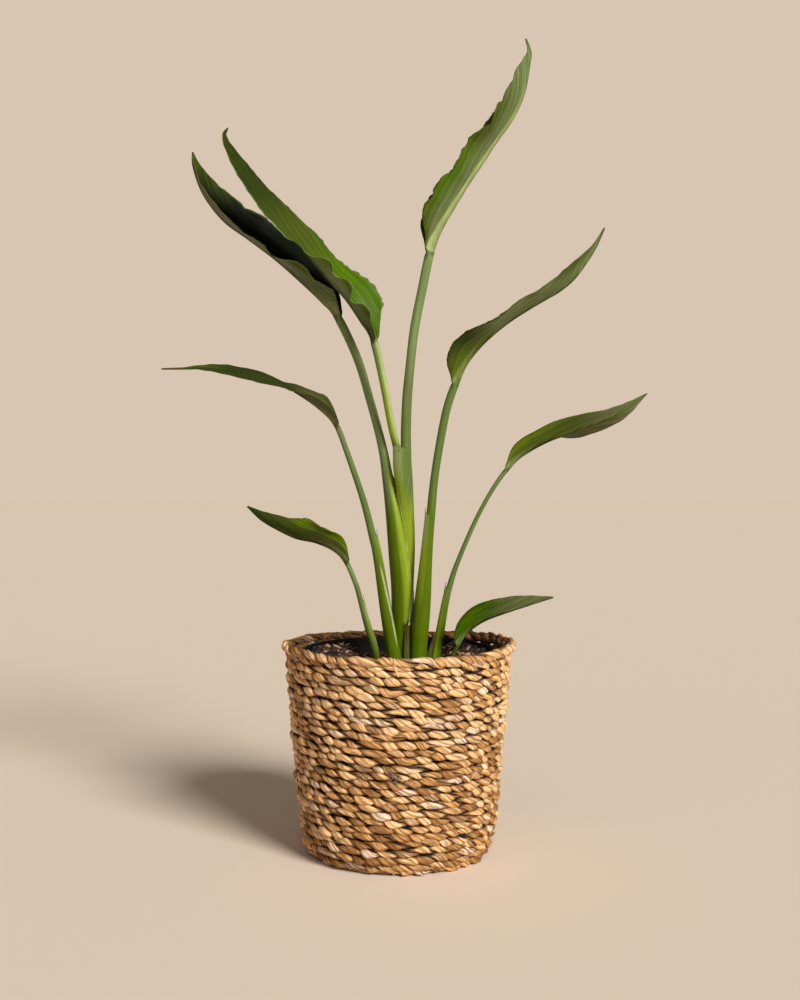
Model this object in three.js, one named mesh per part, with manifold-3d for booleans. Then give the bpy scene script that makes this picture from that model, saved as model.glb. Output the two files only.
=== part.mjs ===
// Potted bird of paradise (Strelitzia): eight leaves on long stalks and two dry sheaths stand in
// soil, in a black nursery pot that stands loose inside a basket coiled from twisted rope.
// Millimetres, +Z up, origin at the centre of the basket's flat underside; -Y is the front.
import * as THREE from 'three'
import Module from 'manifold-3d'

const wasm = await Module()
wasm.setup()

// Driving dimensions, in millimetres.
const gap = 0.3                      // clearance between neighbouring pieces
const coils = 28                     // rows of rope in the basket's wall
const coilPitch = 4.64               // height of one row
const footRadius = 61                // mean outer radius of the lowest row
const wallFlare = 12                 // growth of that radius up to the rim
const lipFlare = 2                   // extra radius of the top row
const ropeRelief = 1.5               // depth of the valleys between two rows
const lumpRelief = 0.9               // height of the rope's twist lumps
const aroundBasket = 52              // facets round the basket, two for each lump
const wallThickness = 5.5
const floorThickness = 5
const potTop = 127
const potRimRadius = 61
const potRimHeight = 9
const potFootRadius = 44
const potWall = 1.5
const drainHoleRadius = 4
const drainHoles = 5
const drainCircle = 28
const aroundPot = 36
const soilTop = 118
const soilMounds = 2.2               // height of the soil's unevenness
const bladeThickness = 0.8
const tipThickness = 0.6
const sliver = 0.02                  // width below which a facet left by a cut is merged
const columns = 2                    // strips in each half of a blade, besides the midrib's own

const wallHeight = coils * coilPitch
const turn = 2 * Math.PI
const radians = Math.PI / 180
const ringPoints = 4 * columns + 6

// Each leaf is one long curve in up to three stretches: the sheath, which is the stalk's clasping
// foot up to its mouth, the stalk, and the blade. A sheath or stalk station is [x, y, z, radius]. A
// blade station adds the width of each half and how steeply its near (front) and far (back) halves
// fold up from the midrib, in degrees: [x, y, z, midrib radius, half width, near fold, far fold].
// lean is the side that the leaf bends to; ripple, waves and phase shape its wavy margins, and curl
// cups each half.
const leafShapes = {
  leaf_1: {
    lean: -1, ripple: 5, waves: 1.6, phase: 2.6, curl: 8,
    sheath: [[-9.5, 2, 100.5, 2.9], [-13, 0, 121, 2.8], [-19.8, -2, 143, 2.4], [-23.3, -3, 157, 2.1]],
    stalk: [[-24, -3.1, 158, 1.8], [-27, -4, 169, 1.7]],
    blade: [
      [-33.5, -5, 184, 1.6, 2.5, 61, 43], [-41, -6, 191.5, 1.2, 10.5, 61, 43],
      [-52.5, -7, 196.5, 1, 14.5, 54, 38], [-64.5, -8, 199, 0.8, 15.5, 57, 41],
      [-75.5, -9, 204, 0.7, 12, 51, 36], [-86.5, -10, 210.5, 0.6, 7, 59, 42],
      [-95.5, -11, 219, 0.4, 0.4, 59, 42]]
  },
  leaf_2: {
    lean: -1, ripple: 5, waves: 2.2, phase: 0.6, curl: 4,
    sheath: [
      [0.5, -6, 102, 5], [-2.5, -8, 123.5, 4.7], [-7.3, -9, 150, 4], [-12.8, -10, 186, 3.2],
      [-15.5, -10.4, 199, 2.9]],
    stalk: [[-16.2, -10.4, 200, 2.6], [-22, -11, 222.5, 2.2], [-32, -12, 252, 1.9]],
    blade: [
      [-39.5, -13, 271, 1.8, 2.5, 16, 42], [-49.5, -15, 281, 1.3, 12.5, 16, 42],
      [-61, -17, 289, 1.1, 14.5, 5, 22], [-71, -19, 294.5, 1, 14.5, -10, 8],
      [-85, -22, 299, 0.9, 13.5, -20, 18], [-102.5, -26, 303, 0.8, 10.5, -26, 23],
      [-120, -30, 304, 0.7, 4.5, -22, 31], [-132.5, -33, 303.5, 0.6, 1.2, -28, 28],
      [-144.5, -36, 303, 0.4, 0.3, -28, 28]]
  },
  leaf_3: {
    lean: -1, ripple: 5, waves: 3, phase: 1.1, curl: 6,
    sheath: [],
    stalk: [
      [3, 4, 90.5, 7.6], [3, 4, 132.5, 7.8], [3, 4, 163.5, 7.7], [0.5, 3.5, 187.5, 6.9],
      [-2.5, 4, 211.5, 5.6], [-6, 6, 232.5, 4.1], [-10.5, 8, 258, 3], [-19, 9, 290, 2.8],
      [-27, 9, 316, 2.9]],
    blade: [
      [-40, 8, 343, 2.8, 3.5, 29, 74], [-49, 7, 352.5, 2.1, 16, 29, 74],
      [-63.5, 5, 365.5, 1.7, 21, 12, 69], [-79.5, 3, 379, 1.5, 22.5, -3, 60],
      [-96, 1, 391, 1.3, 21.5, -3, 58], [-112, -1, 402.5, 1.1, 20, 3, 55],
      [-124.5, -3, 418.5, 0.8, 16.5, 5, 51], [-130.5, -5, 435, 0.6, 7.5, 11, 37],
      [-131, -6, 444.5, 0.4, 0.3, 11, 37]]
  },
  leaf_4: {
    lean: -1, ripple: 5, waves: 3.4, phase: 0.2, curl: 4,
    sheath: [],
    stalk: [
      [4.5, 4, 107, 2.5], [4.5, 4, 158.5, 2.5], [4.2, 3.6, 197.5, 2.5], [3, 2.8, 222, 2.5],
      [0.8, 1.6, 243, 2.5], [-1.2, 0.6, 257, 2.5], [-4.4, -2.4, 271, 2.6], [-10, -7, 300.5, 2.6]],
    blade: [
      [-16, -11, 325.5, 2.7, 3.5, 13, 80], [-23, -13, 336, 1.9, 17, 13, 80],
      [-32, -15, 349, 1.6, 22, 9, 58], [-43.5, -18, 362, 1.4, 22, 10, 40],
      [-57.5, -21, 377.5, 1.2, 20.5, -4, 43], [-73, -24, 396.5, 1, 18.5, -21, 33],
      [-89, -27, 417.5, 0.9, 14, -29, 27], [-102.5, -30, 436.5, 0.7, 6.5, -30, 30],
      [-107, -32, 446, 0.5, 2.5, -23, 32], [-104.5, -33, 451, 0.4, 0.3, -23, 32]]
  },
  leaf_5: {
    lean: 1, ripple: 3, waves: 3.2, phase: 2, curl: 6,
    sheath: [
      [4.5, 4, 97, 4.9], [4.5, 4, 158.5, 5.1], [5.5, 4, 190.5, 5.1], [4.7, 3.6, 215, 5.3],
      [3.6, 2.6, 230, 5.7], [2.3, 1.8, 243, 6.4], [1.9, 1.5, 256, 6.2]],
    stalk: [
      [4.6, 2.9, 257, 3.55], [4.6, 3, 270, 3.45], [5.4, 2.8, 289, 3.3], [7, 2, 306.5, 3.1],
      [10, 2, 332.5, 3.1], [15, 1, 358, 3.1]],
    blade: [
      [20.5, 0, 383.5, 3, 3.8, 42, 45], [26.5, 0, 397, 2, 19, 42, 45],
      [35, 0, 411, 1.5, 23, 41, 48], [44.5, 1, 426.5, 1.3, 22, 29, 44],
      [54, 2, 440.5, 1.2, 23, 37, 43], [63, 3, 454.5, 1.1, 21, 24, 42],
      [72, 4, 467, 1, 20, 34, 44], [78.5, 5, 479.5, 0.9, 17, 36, 43],
      [82.5, 7, 492, 0.8, 13, 45, 26], [84.5, 9, 503.5, 0.7, 8, 53, 27],
      [86, 10, 514, 0.5, 3, 54, 20], [83, 12, 524, 0.4, 0.3, 53, 26]]
  },
  leaf_6: {
    lean: 1, ripple: 3, waves: 3, phase: 3.1, curl: 6,
    sheath: [
      [12, -3, 101.5, 5.3], [12.5, -4, 123.5, 5.4], [14.5, -5, 151.5, 5.7], [17.3, -6, 182.5, 4.5],
      [19.8, -7, 213, 3.3]],
    stalk: [
      [20.4, -7.1, 214, 3], [22.5, -8, 235.5, 2.7], [26, -10, 258.5, 2.7], [30.5, -11, 281, 2.7]],
    blade: [
      [36, -12, 297, 2.6, 3, 45, 46], [39.5, -13, 304.5, 1.9, 13.5, 45, 46],
      [44.5, -14, 312.5, 1.6, 17, 50, 50], [52.5, -15, 321.5, 1.4, 18, 34, 40],
      [61, -17, 329, 1.3, 18, 16, 29], [70.5, -19, 336, 1.2, 17.5, 16, 23],
      [82, -21, 343, 1.1, 17, 20, 22], [91, -23, 348, 1, 15.5, 18, 27],
      [100, -25, 353, 0.9, 14, 29, 22], [108, -27, 359.5, 0.8, 12.5, 38, 16],
      [115, -29, 368.5, 0.7, 8.5, 41, 16], [121, -31, 378, 0.5, 4, 40, 16],
      [126, -34, 389.5, 0.4, 0.3, 35, 27]]
  },
  leaf_7: {
    lean: 1, ripple: 4, waves: 2.2, phase: 0.9, curl: 5,
    sheath: [[21.5, 6, 100, 3.3], [24.5, 8, 123, 3.2], [29.2, 11, 150, 2.7], [32.1, 11.8, 164, 2.4]],
    stalk: [[32.7, 11.9, 165, 2.1], [38, 13, 181, 1.7], [50, 16, 208.5, 1.5], [61.5, 18, 229.5, 1.5]],
    blade: [
      [72, 20, 244, 1.6, 2.2, 58, 33], [81, 21, 252.5, 1.3, 9.5, 58, 33],
      [97, 23, 261.5, 1.1, 13, 47, 27], [114, 25, 268, 1, 14, 41, -12],
      [133, 28, 275.5, 0.8, 12.5, 28, -33], [151, 31, 283.5, 0.6, 8, 26, -44],
      [167, 34, 294.5, 0.4, 0.3, 26, -44]]
  },
  leaf_8: {
    lean: 1, ripple: 3, waves: 1.3, phase: 1, curl: 8,
    sheath: [],
    stalk: [[30.5, 0, 101, 1.8], [34, -2, 120.5, 1.8]],
    blade: [
      [38, -4, 131.5, 1.5, 2.2, 64, 38], [43.5, -6, 139, 1.1, 9, 64, 38],
      [53.5, -9, 146.5, 0.9, 12.5, 65, 38], [66.5, -13, 152, 0.8, 12.5, 57, 31],
      [80.5, -17, 157, 0.6, 9, 53, 27], [96.5, -21, 162.5, 0.4, 0.3, 53, 27]]
  }
}

// The dry sheaths are the papery remains of lost leaves: narrow blades that stand beside a stem.
const drySheathShapes = {
  dry_sheath_1: {
    lean: 1, ripple: 0, waves: 1, phase: 0, curl: 0, sheath: [], stalk: [],
    blade: [
      [5.7, -5.8, 112, 0.5, 1.3, 100, -80], [5.4, -5.9, 121, 0.5, 1.7, 100, -80],
      [5.6, -6.3, 134, 0.5, 1.5, 100, -80], [6.2, -7.2, 147, 0.4, 0.5, 100, -80]]
  },
  dry_sheath_2: {
    lean: 1, ripple: 0, waves: 1, phase: 0, curl: 0, sheath: [], stalk: [],
    blade: [
      [18.2, 4.3, 111, 0.5, 1.4, 100, -80], [19.8, 4, 121, 0.5, 1.5, 100, -80],
      [23, 4.4, 135, 0.4, 0.5, 100, -80]]
  }
}

// A value list between the hand-set stations, by a Catmull-Rom spline through them.
function stationAt(stations, place) {
  const last = stations.length - 1
  const index = Math.min(Math.floor(place), last - 1)
  const share = place - index
  const from = stations[index]
  const to = stations[index + 1]
  const before = stations[index - 1] ?? from.map((value, i) => 2 * value - to[i])
  const after = stations[index + 2] ?? to.map((value, i) => 2 * value - from[i])
  return from.map((value, i) => {
    const leave = (to[i] - before[i]) / 2
    const arrive = (after[i] - value) / 2
    const square = 3 * (to[i] - value) - 2 * leave - arrive
    const cube = 2 * (value - to[i]) + leave + arrive
    return value + share * (leave + share * (square + share * cube))
  })
}

// Position, direction, near side and upper side of a curve's station.
function frameAt(stations, place, lean) {
  const step = 0.02
  const last = stations.length - 1
  const back = stationAt(stations, Math.max(place - step, 0))
  const ahead = stationAt(stations, Math.min(place + step, last))
  const along = new THREE.Vector3(ahead[0] - back[0], ahead[1] - back[1], ahead[2] - back[2])
  along.normalize()
  const side = new THREE.Vector3(0, -1, 0)
  side.addScaledVector(along, -side.dot(along)).normalize()
  const upper = new THREE.Vector3().crossVectors(side, along).multiplyScalar(lean)
  const values = stationAt(stations, place)
  return { values, centre: new THREE.Vector3(values[0], values[1], values[2]), along, side, upper }
}

// A closed solid through a row of rings with equal point counts, capped at both ends. From ring
// point flipFrom on, the quads are split the other way.
function ringSolid(rings, flipFrom = Infinity) {
  const count = rings[0].length
  const points = rings.flat()
  const faces = []
  for (let row = 0; row < rings.length - 1; row++) {
    for (let i = 0; i < count; i++) {
      const a = row * count + i
      const b = row * count + (i + 1) % count
      const c = b + count
      const d = a + count
      faces.push(...(i < flipFrom ? [a, b, c, a, c, d] : [a, b, d, b, c, d]))
    }
  }
  const lastRow = (rings.length - 1) * count
  for (const [start, ring, turned] of [[0, rings[0], true], [lastRow, rings.at(-1), false]]) {
    const middle = ring.reduce((sum, point) => sum.add(point), new THREE.Vector3())
    const centre = points.push(middle.divideScalar(count)) - 1
    for (let i = 0; i < count; i++) {
      const a = start + i
      const b = start + (i + 1) % count
      faces.push(...(turned ? [b, a, centre] : [a, b, centre]))
    }
  }
  const geometry = new THREE.BufferGeometry()
  geometry.setAttribute('position', new THREE.Float32BufferAttribute(points.flatMap(p => [p.x, p.y, p.z]), 3))
  geometry.setIndex(signedVolume(points, faces) < 0 ? faces.reverse() : faces)
  return geometry
}

function signedVolume(points, faces) {
  let volume = 0
  const normal = new THREE.Vector3()
  for (let i = 0; i < faces.length; i += 3) {
    normal.crossVectors(points[faces[i + 1]], points[faces[i + 2]])
    volume += points[faces[i]].dot(normal) / 6
  }
  return volume
}

function toSolid(geometry) {
  const vertProperties = geometry.getAttribute('position').array
  const triVerts = new Uint32Array(geometry.index.array)
  return new wasm.Manifold(new wasm.Mesh({ numProp: 3, vertProperties, triVerts }))
}

// A solid as a geometry, without the slivers that cutting leaves.
function toGeometry(solid) {
  const mesh = solid.simplify(sliver).getMesh()
  const geometry = new THREE.BufferGeometry()
  geometry.setAttribute('position', new THREE.BufferAttribute(mesh.vertProperties, 3))
  geometry.setIndex(new THREE.BufferAttribute(mesh.triVerts, 1))
  return geometry
}

function evenPlaces(from, to, perStation) {
  const count = Math.round((to - from) * perStation)
  return Array.from({ length: count + 1 }, (_, i) => from + (to - from) * i / count)
}

// Rings round a stretch of sheath or stalk, with a shallow channel along the upper side. Their
// points run from the near side over the top to the far side and back underneath.
function stemRings(stations, places, lean, grow) {
  return places.map(place => {
    const { values, centre, side, upper } = frameAt(stations, place, lean)
    const radius = values[3] + grow
    return Array.from({ length: ringPoints }, (_, i) => {
      const angle = turn * (0.25 - (i + 0.5) / ringPoints)
      const channel = i === columns + 1 ? 0.82 : 1
      return centre.clone()
        .addScaledVector(upper, channel * radius * Math.cos(angle))
        .addScaledVector(side, radius * Math.sin(angle))
    })
  })
}

function rippleAt(leaf, along, half) {
  const angle = turn * leaf.waves * along + leaf.phase + 2.1 * half
  const finer = turn * 2.3 * leaf.waves * along + 1.7 * (leaf.phase + 2.1 * half)
  const strength = along < 0.12 ? 0.2 + 6.7 * along : 1 - Math.max(0, along - 0.12)
  return leaf.ripple * strength * (Math.sin(angle) + 0.5 * Math.sin(finer))
}

// One half of a blade's cross-section: the midrib, the midrib's edge, then points out to the margin,
// which turn up by the fold angle, cupped by curl and waved more and more towards the margin. The
// normals are those of the points after the midrib.
function halfSection(leaf, frame, along, half) {
  const { values, side, upper } = frame
  const fold = half === 0 ? values[5] : values[6]
  const outward = half === 0 ? 1 : -1
  const ripple = rippleAt(leaf, along, half)
  const rib = Math.min(1.2 * values[3] / values[4], 0.4)
  const shares = [0, ...evenPlaces(rib, 1, columns / (1 - rib))]
  const points = [frame.centre.clone().addScaledVector(upper, 0.3 * values[3])]
  const normals = []
  for (let column = 0; column <= columns; column++) {
    const share = (shares[column] + shares[column + 1]) / 2
    const angle = radians * (fold + leaf.curl * (2 * share - 1) + 2 * ripple * share * share)
    const step = values[4] * (shares[column + 1] - shares[column])
    const normal = upper.clone().multiplyScalar(Math.cos(angle))
    normal.addScaledVector(side, -outward * Math.sin(angle))
    points.push(points[column].clone()
      .addScaledVector(side, outward * step * Math.cos(angle))
      .addScaledVector(upper, step * Math.sin(angle)))
    normals.push(normal)
  }
  return { points, normals }
}

// Rings round a blade: a thin waved shell with its midrib raised along the underside.
function bladeRings(leaf, stations, firstStation, grow = 0) {
  const last = stations.length - 1
  const places = evenPlaces(firstStation, last, leaf.blade.length > 9 ? 1.6 : 2)
  return places.map(place => {
    const frame = frameAt(stations, place, leaf.lean)
    frame.values[4] += grow
    const along = (place - firstStation) / (last - firstStation)
    const half = THREE.MathUtils.lerp(bladeThickness, tipThickness, along) / 2 + grow
    const near = halfSection(leaf, frame, along, 0)
    const far = halfSection(leaf, frame, along, 1)
    const crest = new THREE.Vector3().addVectors(near.normals[0], far.normals[0]).normalize()
    const points = [...near.points.slice(1).reverse(), ...far.points]
    const normals = [...near.normals.reverse(), crest, ...far.normals]
    const above = points.map((point, i) => point.clone().addScaledVector(normals[i], half))
    const below = points.map((point, i) => point.clone().addScaledVector(normals[i], -half))
    below[columns + 1].addScaledVector(crest, -1.2 * frame.values[3])
    return [...above, ...below.reverse()]
  })
}

// Stations of the stalk and the blade together, so that one curve runs through both.
function leafStations(leaf) {
  const [, , , , , near, far] = leaf.blade[0]
  return [...leaf.stalk.map(row => [...row, 0, near, far]), ...leaf.blade]
}

// Rings round a leaf's sheath and stalk, up to a place near its blade.
function standRings(leaf, end, grow = 0) {
  const sheathPlaces = leaf.sheath.length ? evenPlaces(0, leaf.sheath.length - 1, 2) : []
  return [
    ...stemRings(leaf.sheath, sheathPlaces, leaf.lean, grow),
    ...stemRings(leafStations(leaf), evenPlaces(0, end, 2), leaf.lean, grow)
  ]
}

// The sheath and stalk alone, grown all round by the clearance where a neighbour is cut by them.
function stemSolid(leaf, grow) {
  const rings = standRings(leaf, leaf.stalk.length, grow)
  return toSolid(ringSolid(lowered(rings, grow), ringPoints / 2))
}

// The dry sheaths are all blade.
function drySheathSolid(leaf, grow = 0) {
  const rings = lowered(bladeRings(leaf, leaf.blade, 0, grow), grow)
  return toSolid(ringSolid(rings, ringPoints / 2))
}

// The same rings with the first one moved down.
function lowered(rings, distance) {
  const [first, ...others] = rings
  return [first.map(point => point.clone().setZ(point.z - distance)), ...others]
}

// One leaf grown as one piece: sheath, stalk, and blade with its midrib.
function leafSolid(leaf) {
  const blade = bladeRings(leaf, leafStations(leaf), leaf.stalk.length)
  const rings = [...standRings(leaf, leaf.stalk.length - 0.25), ...blade]
  return toSolid(ringSolid(rings, ringPoints / 2))
}

function ring(around, pointAt) {
  return Array.from({ length: around }, (_, i) => {
    const angle = turn * i / around
    const [radius, z] = pointAt(angle, i)
    return new THREE.Vector3(radius * Math.cos(angle), radius * Math.sin(angle), z)
  })
}

function plainRing(radius, z, around) {
  return ring(around, () => [radius, z])
}

// Mean outer radius of the basket at a height, with the slight unevenness of hand-laid rows.
function basketRadius(z, row) {
  return footRadius + wallFlare * (z / wallHeight) ** 0.9 + 0.5 * Math.sin(2.4 * row)
}

// The basket: rows of rope whose twist shows as lumps, staggered from row to row, a rounded rim,
// a plain inner wall, and a flat floor to stand on.
function makeBasket() {
  const rings = [plainRing(footRadius - 4, 0, aroundBasket)]
  for (let row = 0; row < coils; row++) {
    const z = row * coilPitch
    const radius = basketRadius(z, row) + (row === coils - 1 ? lipFlare : 0)
    const lump = i => lumpRelief * ((i + row) % 2 ? 0.5 : -0.5)
    if (row > 0) rings.push(plainRing(radius - ropeRelief, z, aroundBasket))
    rings.push(ring(aroundBasket, (_, i) => [radius + lump(i), z + coilPitch / 2 + lump(i)]))
  }
  const rimRadius = basketRadius(wallHeight, coils - 1)
  const rimTop = wallHeight + 1
  rings.push(ring(aroundBasket, (_, i) => [rimRadius - 0.5, rimTop + (i % 2 ? 0.4 : -0.4)]))
  rings.push(plainRing(rimRadius - wallThickness + 1, wallHeight - coilPitch / 2, aroundBasket))
  rings.push(plainRing(rimRadius - wallThickness, wallHeight - coilPitch, aroundBasket))
  rings.push(plainRing(footRadius - wallThickness, floorThickness, aroundBasket))
  return ringSolid(rings)
}

function drainHole(index) {
  const angle = turn * index / drainHoles
  const middle = new THREE.Vector3(drainCircle * Math.cos(angle), drainCircle * Math.sin(angle), 0)
  const rings = [0, 2 * floorThickness].map(z => plainRing(drainHoleRadius, z, 10).map(p => p.add(middle)))
  return toSolid(ringSolid(rings))
}

// Radius of the pot's outer wall below its rim.
function potRadius(z) {
  return THREE.MathUtils.mapLinear(z, floorThickness, potTop, potFootRadius, potRimRadius - 2)
}

// The nursery pot: a thin tapered pot with a stepped rim and drain holes in its floor.
function makeNurseryPot() {
  const foot = floorThickness + gap
  const rimFoot = potTop - potRimHeight
  const profile = [
    [potRadius(foot), foot],
    [potRadius(rimFoot), rimFoot],
    [potRimRadius - 0.4, rimFoot + 0.6],
    [potRimRadius, potTop],
    [potRimRadius - potWall, potTop],
    [potRimRadius - potWall - 0.4, rimFoot + 1.5],
    [potRadius(rimFoot) - potWall, rimFoot - 1],
    [potRadius(foot) - potWall, foot + potWall]
  ]
  let pot = toSolid(ringSolid(profile.map(([radius, z]) => plainRing(radius, z, aroundPot))))
  for (let index = 0; index < drainHoles; index++) pot = pot.subtract(drainHole(index))
  return toGeometry(pot)
}

// Height of the soil: low mounds, higher at the left and the right.
function soilHeight(x, y) {
  const mounds = Math.sin(0.16 * x + 1.3) * Math.cos(0.13 * y) + 0.5 * Math.sin(0.31 * y - 0.22 * x)
  return soilTop + soilMounds * mounds + 0.0009 * x * x
}

// The soil fills the pot; the stems stand in plain holes in it.
function makeSoil(holes) {
  const foot = floorThickness + potWall + 2 * gap
  const edge = soilTop - 3
  const wallAt = z => potRadius(z) - potWall - 2 * gap
  const rings = [plainRing(wallAt(foot), foot, aroundPot), plainRing(wallAt(edge), edge, aroundPot)]
  for (const radius of [53, 43, 33, 22, 11]) {
    const height = angle => soilHeight(radius * Math.cos(angle), radius * Math.sin(angle))
    rings.push(ring(aroundPot, angle => [radius, height(angle)]))
  }
  let soil = toSolid(ringSolid(rings))
  for (const hole of holes) soil = soil.subtract(hole)
  return toGeometry(soil)
}

// Every leaf as a solid. Leaf 3 clasps leaf 5, which clasps leaf 4; leaves 2 and 6 hug leaf 3.
function makeLeaves() {
  const clasped = { leaf_3: ['leaf_5'], leaf_5: ['leaf_4'], leaf_2: ['leaf_3'], leaf_6: ['leaf_3'] }
  return Object.fromEntries(Object.entries(leafShapes).map(([name, shape]) => {
    let solid = leafSolid(shape)
    for (const inner of clasped[name] ?? []) solid = solid.subtract(stemSolid(leafShapes[inner], gap))
    return [name, toGeometry(solid)]
  }))
}

const materials = {
  rope: new THREE.MeshStandardMaterial({ color: '#b98f5f', roughness: 0.8, metalness: 0 }),
  pot: new THREE.MeshStandardMaterial({ color: '#171717', roughness: 0.5, metalness: 0 }),
  soil: new THREE.MeshStandardMaterial({ color: '#2a1e17', roughness: 0.95, metalness: 0 }),
  drySheath: new THREE.MeshStandardMaterial({ color: '#8a6a48', roughness: 0.8, metalness: 0 })
}
const leafColour = { color: '#5b7f2e', roughness: 0.45, metalness: 0 }

const plant = new THREE.Group()
function addPiece(name, geometry, material) {
  const mesh = new THREE.Mesh(geometry, material)
  mesh.name = name
  plant.add(mesh)
}

const { leaf_4, leaf_5, ...plantedLeaves } = leafShapes
const holes = [
  ...Object.values(plantedLeaves).map(shape => stemSolid(shape, gap)),
  ...Object.values(drySheathShapes).map(shape => drySheathSolid(shape, gap))
]
addPiece('basket', makeBasket(), materials.rope)
addPiece('nursery_pot', makeNurseryPot(), materials.pot)
addPiece('soil', makeSoil(holes), materials.soil)
for (const [name, geometry] of Object.entries(makeLeaves())) {
  addPiece(name, geometry, new THREE.MeshStandardMaterial(leafColour))
}
for (const [name, shape] of Object.entries(drySheathShapes)) {
  addPiece(name, toGeometry(drySheathSolid(shape)), materials.drySheath)
}

export default plant
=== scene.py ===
"""A young bird of paradise in its nursery pot, standing in a coiled rope basket."""
import math

import bpy
import numpy as np
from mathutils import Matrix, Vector
from mathutils.bvhtree import BVHTree


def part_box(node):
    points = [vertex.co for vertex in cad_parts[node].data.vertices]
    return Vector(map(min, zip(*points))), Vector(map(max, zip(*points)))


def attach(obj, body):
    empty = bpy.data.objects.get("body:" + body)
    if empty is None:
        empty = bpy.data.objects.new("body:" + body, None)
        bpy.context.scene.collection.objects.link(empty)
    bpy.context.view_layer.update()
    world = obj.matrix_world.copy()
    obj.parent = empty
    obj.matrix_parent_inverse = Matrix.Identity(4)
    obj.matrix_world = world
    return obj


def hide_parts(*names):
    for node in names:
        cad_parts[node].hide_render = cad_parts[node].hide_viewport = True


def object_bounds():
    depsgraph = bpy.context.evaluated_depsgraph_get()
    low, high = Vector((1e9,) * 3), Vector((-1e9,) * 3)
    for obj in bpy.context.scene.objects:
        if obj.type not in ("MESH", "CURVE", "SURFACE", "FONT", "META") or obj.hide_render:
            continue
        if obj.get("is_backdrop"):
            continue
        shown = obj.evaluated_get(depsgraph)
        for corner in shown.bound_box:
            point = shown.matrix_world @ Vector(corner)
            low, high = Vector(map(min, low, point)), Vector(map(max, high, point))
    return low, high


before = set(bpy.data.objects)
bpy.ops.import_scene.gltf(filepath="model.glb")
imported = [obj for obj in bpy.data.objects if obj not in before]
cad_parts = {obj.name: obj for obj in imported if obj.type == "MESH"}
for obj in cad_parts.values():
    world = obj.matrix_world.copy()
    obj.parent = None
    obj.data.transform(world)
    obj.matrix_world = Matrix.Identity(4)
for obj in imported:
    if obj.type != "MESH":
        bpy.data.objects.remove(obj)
CAD_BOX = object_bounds()

bl_info = {
    "name": "Potted bird of paradise",
    "version": (1, 0, 0),
    "blender": (4, 5, 0),
    "location": "View3D > Sidebar > Plant",
    "description": "Builds a young bird of paradise in a coiled rope basket",
    "category": "Add Mesh",
}

MM = 0.001
TURN = 2 * math.pi
BODY = "root"


# ---------------------------------------------------------------- node trees

class Socket:
    """A node's output, which can be used in sums as a number is."""

    def __init__(self, nodes, socket):
        self.nodes = nodes
        self.socket = socket

    def math(self, operation, *others):
        return self.nodes.math(operation, self, *others)

    def beside(self, name):
        """Another output of the same node."""
        return Socket(self.nodes, self.socket.node.outputs[name])

    def __add__(self, other):
        return self.math("ADD", other)

    def __sub__(self, other):
        return self.math("SUBTRACT", other)

    def __mul__(self, other):
        return self.math("MULTIPLY", other)

    def __truediv__(self, other):
        return self.math("DIVIDE", other)

    def __pow__(self, other):
        return self.math("POWER", other)

    def __rsub__(self, other):
        return self.nodes.math("SUBTRACT", other, self)

    __radd__ = __add__
    __rmul__ = __mul__


class Nodes:
    """Adds nodes to one tree."""

    def __init__(self, tree):
        self.tree = tree
        tree.nodes.clear()

    def add(self, kind, settings=None, inputs=None, output=0):
        """A node with its settings, then its inputs; returns one of its outputs."""
        node = self.tree.nodes.new(kind)
        for name, value in (settings or {}).items():
            setattr(node, name, value)
        for key, value in (inputs or {}).items():
            if isinstance(value, Socket):
                self.tree.links.new(value.socket, node.inputs[key])
            else:
                node.inputs[key].default_value = value
        return Socket(self, node.outputs[output]) if node.outputs else None

    def math(self, operation, *values):
        return self.add("ShaderNodeMath", {"operation": operation}, dict(enumerate(values)))

    def vector(self, operation, *values, output=0, **named):
        inputs = {**dict(enumerate(values)), **named}
        return self.add("ShaderNodeVectorMath", {"operation": operation}, inputs, output)

    def combine(self, x, y, z):
        return self.add("ShaderNodeCombineXYZ", None, {0: x, 1: y, 2: z})

    def part(self, vector, axis):
        return self.add("ShaderNodeSeparateXYZ", None, {0: vector}, axis)

    def span(self, value, low, high, to_low=0.0, to_high=1.0):
        """A value moved smoothly from one range to another and held inside it."""
        return self.add("ShaderNodeMapRange", {"interpolation_type": "SMOOTHSTEP"},
                        {0: value, 1: low, 2: high, 3: to_low, 4: to_high})

    def noise(self, vector, scale, detail=2.0, roughness=0.5, output=0):
        return self.add("ShaderNodeTexNoise", None, {
            "Vector": vector, "Scale": scale, "Detail": detail, "Roughness": roughness}, output)

    def lump_numbers(self, lump, strand, seed, many):
        """Up to three random numbers that stay the same all over one lump of one strand."""
        own = self.add("ShaderNodeTexWhiteNoise", {"noise_dimensions": "3D"}, {
            "Vector": self.combine(lump, strand, seed)}, 1)
        return [self.part(own, axis) for axis in range(many)]

    def mix(self, factor, a, b):
        """Two colours mixed."""
        return self.add("ShaderNodeMix", {"data_type": "RGBA"}, {0: factor, 6: a, 7: b}, 2)

    def lit(self, colour, light):
        """A colour made lighter or darker."""
        return self.vector("MULTIPLY", colour, self.combine(light, light, light))

    def attribute(self, name, output=2):
        """A mesh attribute in a material: 0 is its colour, 1 a vector, 2 a number."""
        return self.add("ShaderNodeAttribute", {"attribute_name": name}, None, output)

    def own_place(self):
        """A point's place in its piece."""
        return self.add("ShaderNodeTexCoord", output="Object")

    def bump(self, height, distance, strength=1.0):
        return self.add("ShaderNodeBump", None, {
            "Height": height, "Distance": distance, "Strength": strength})


def shade(colour, brightness=1.0):
    """A colour property as a node's colour."""
    return (*[channel * brightness for channel in colour], 1.0)


def new_material(name):
    material = bpy.data.materials.new(name)
    material.use_nodes = True
    return material, Nodes(material.node_tree)


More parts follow.
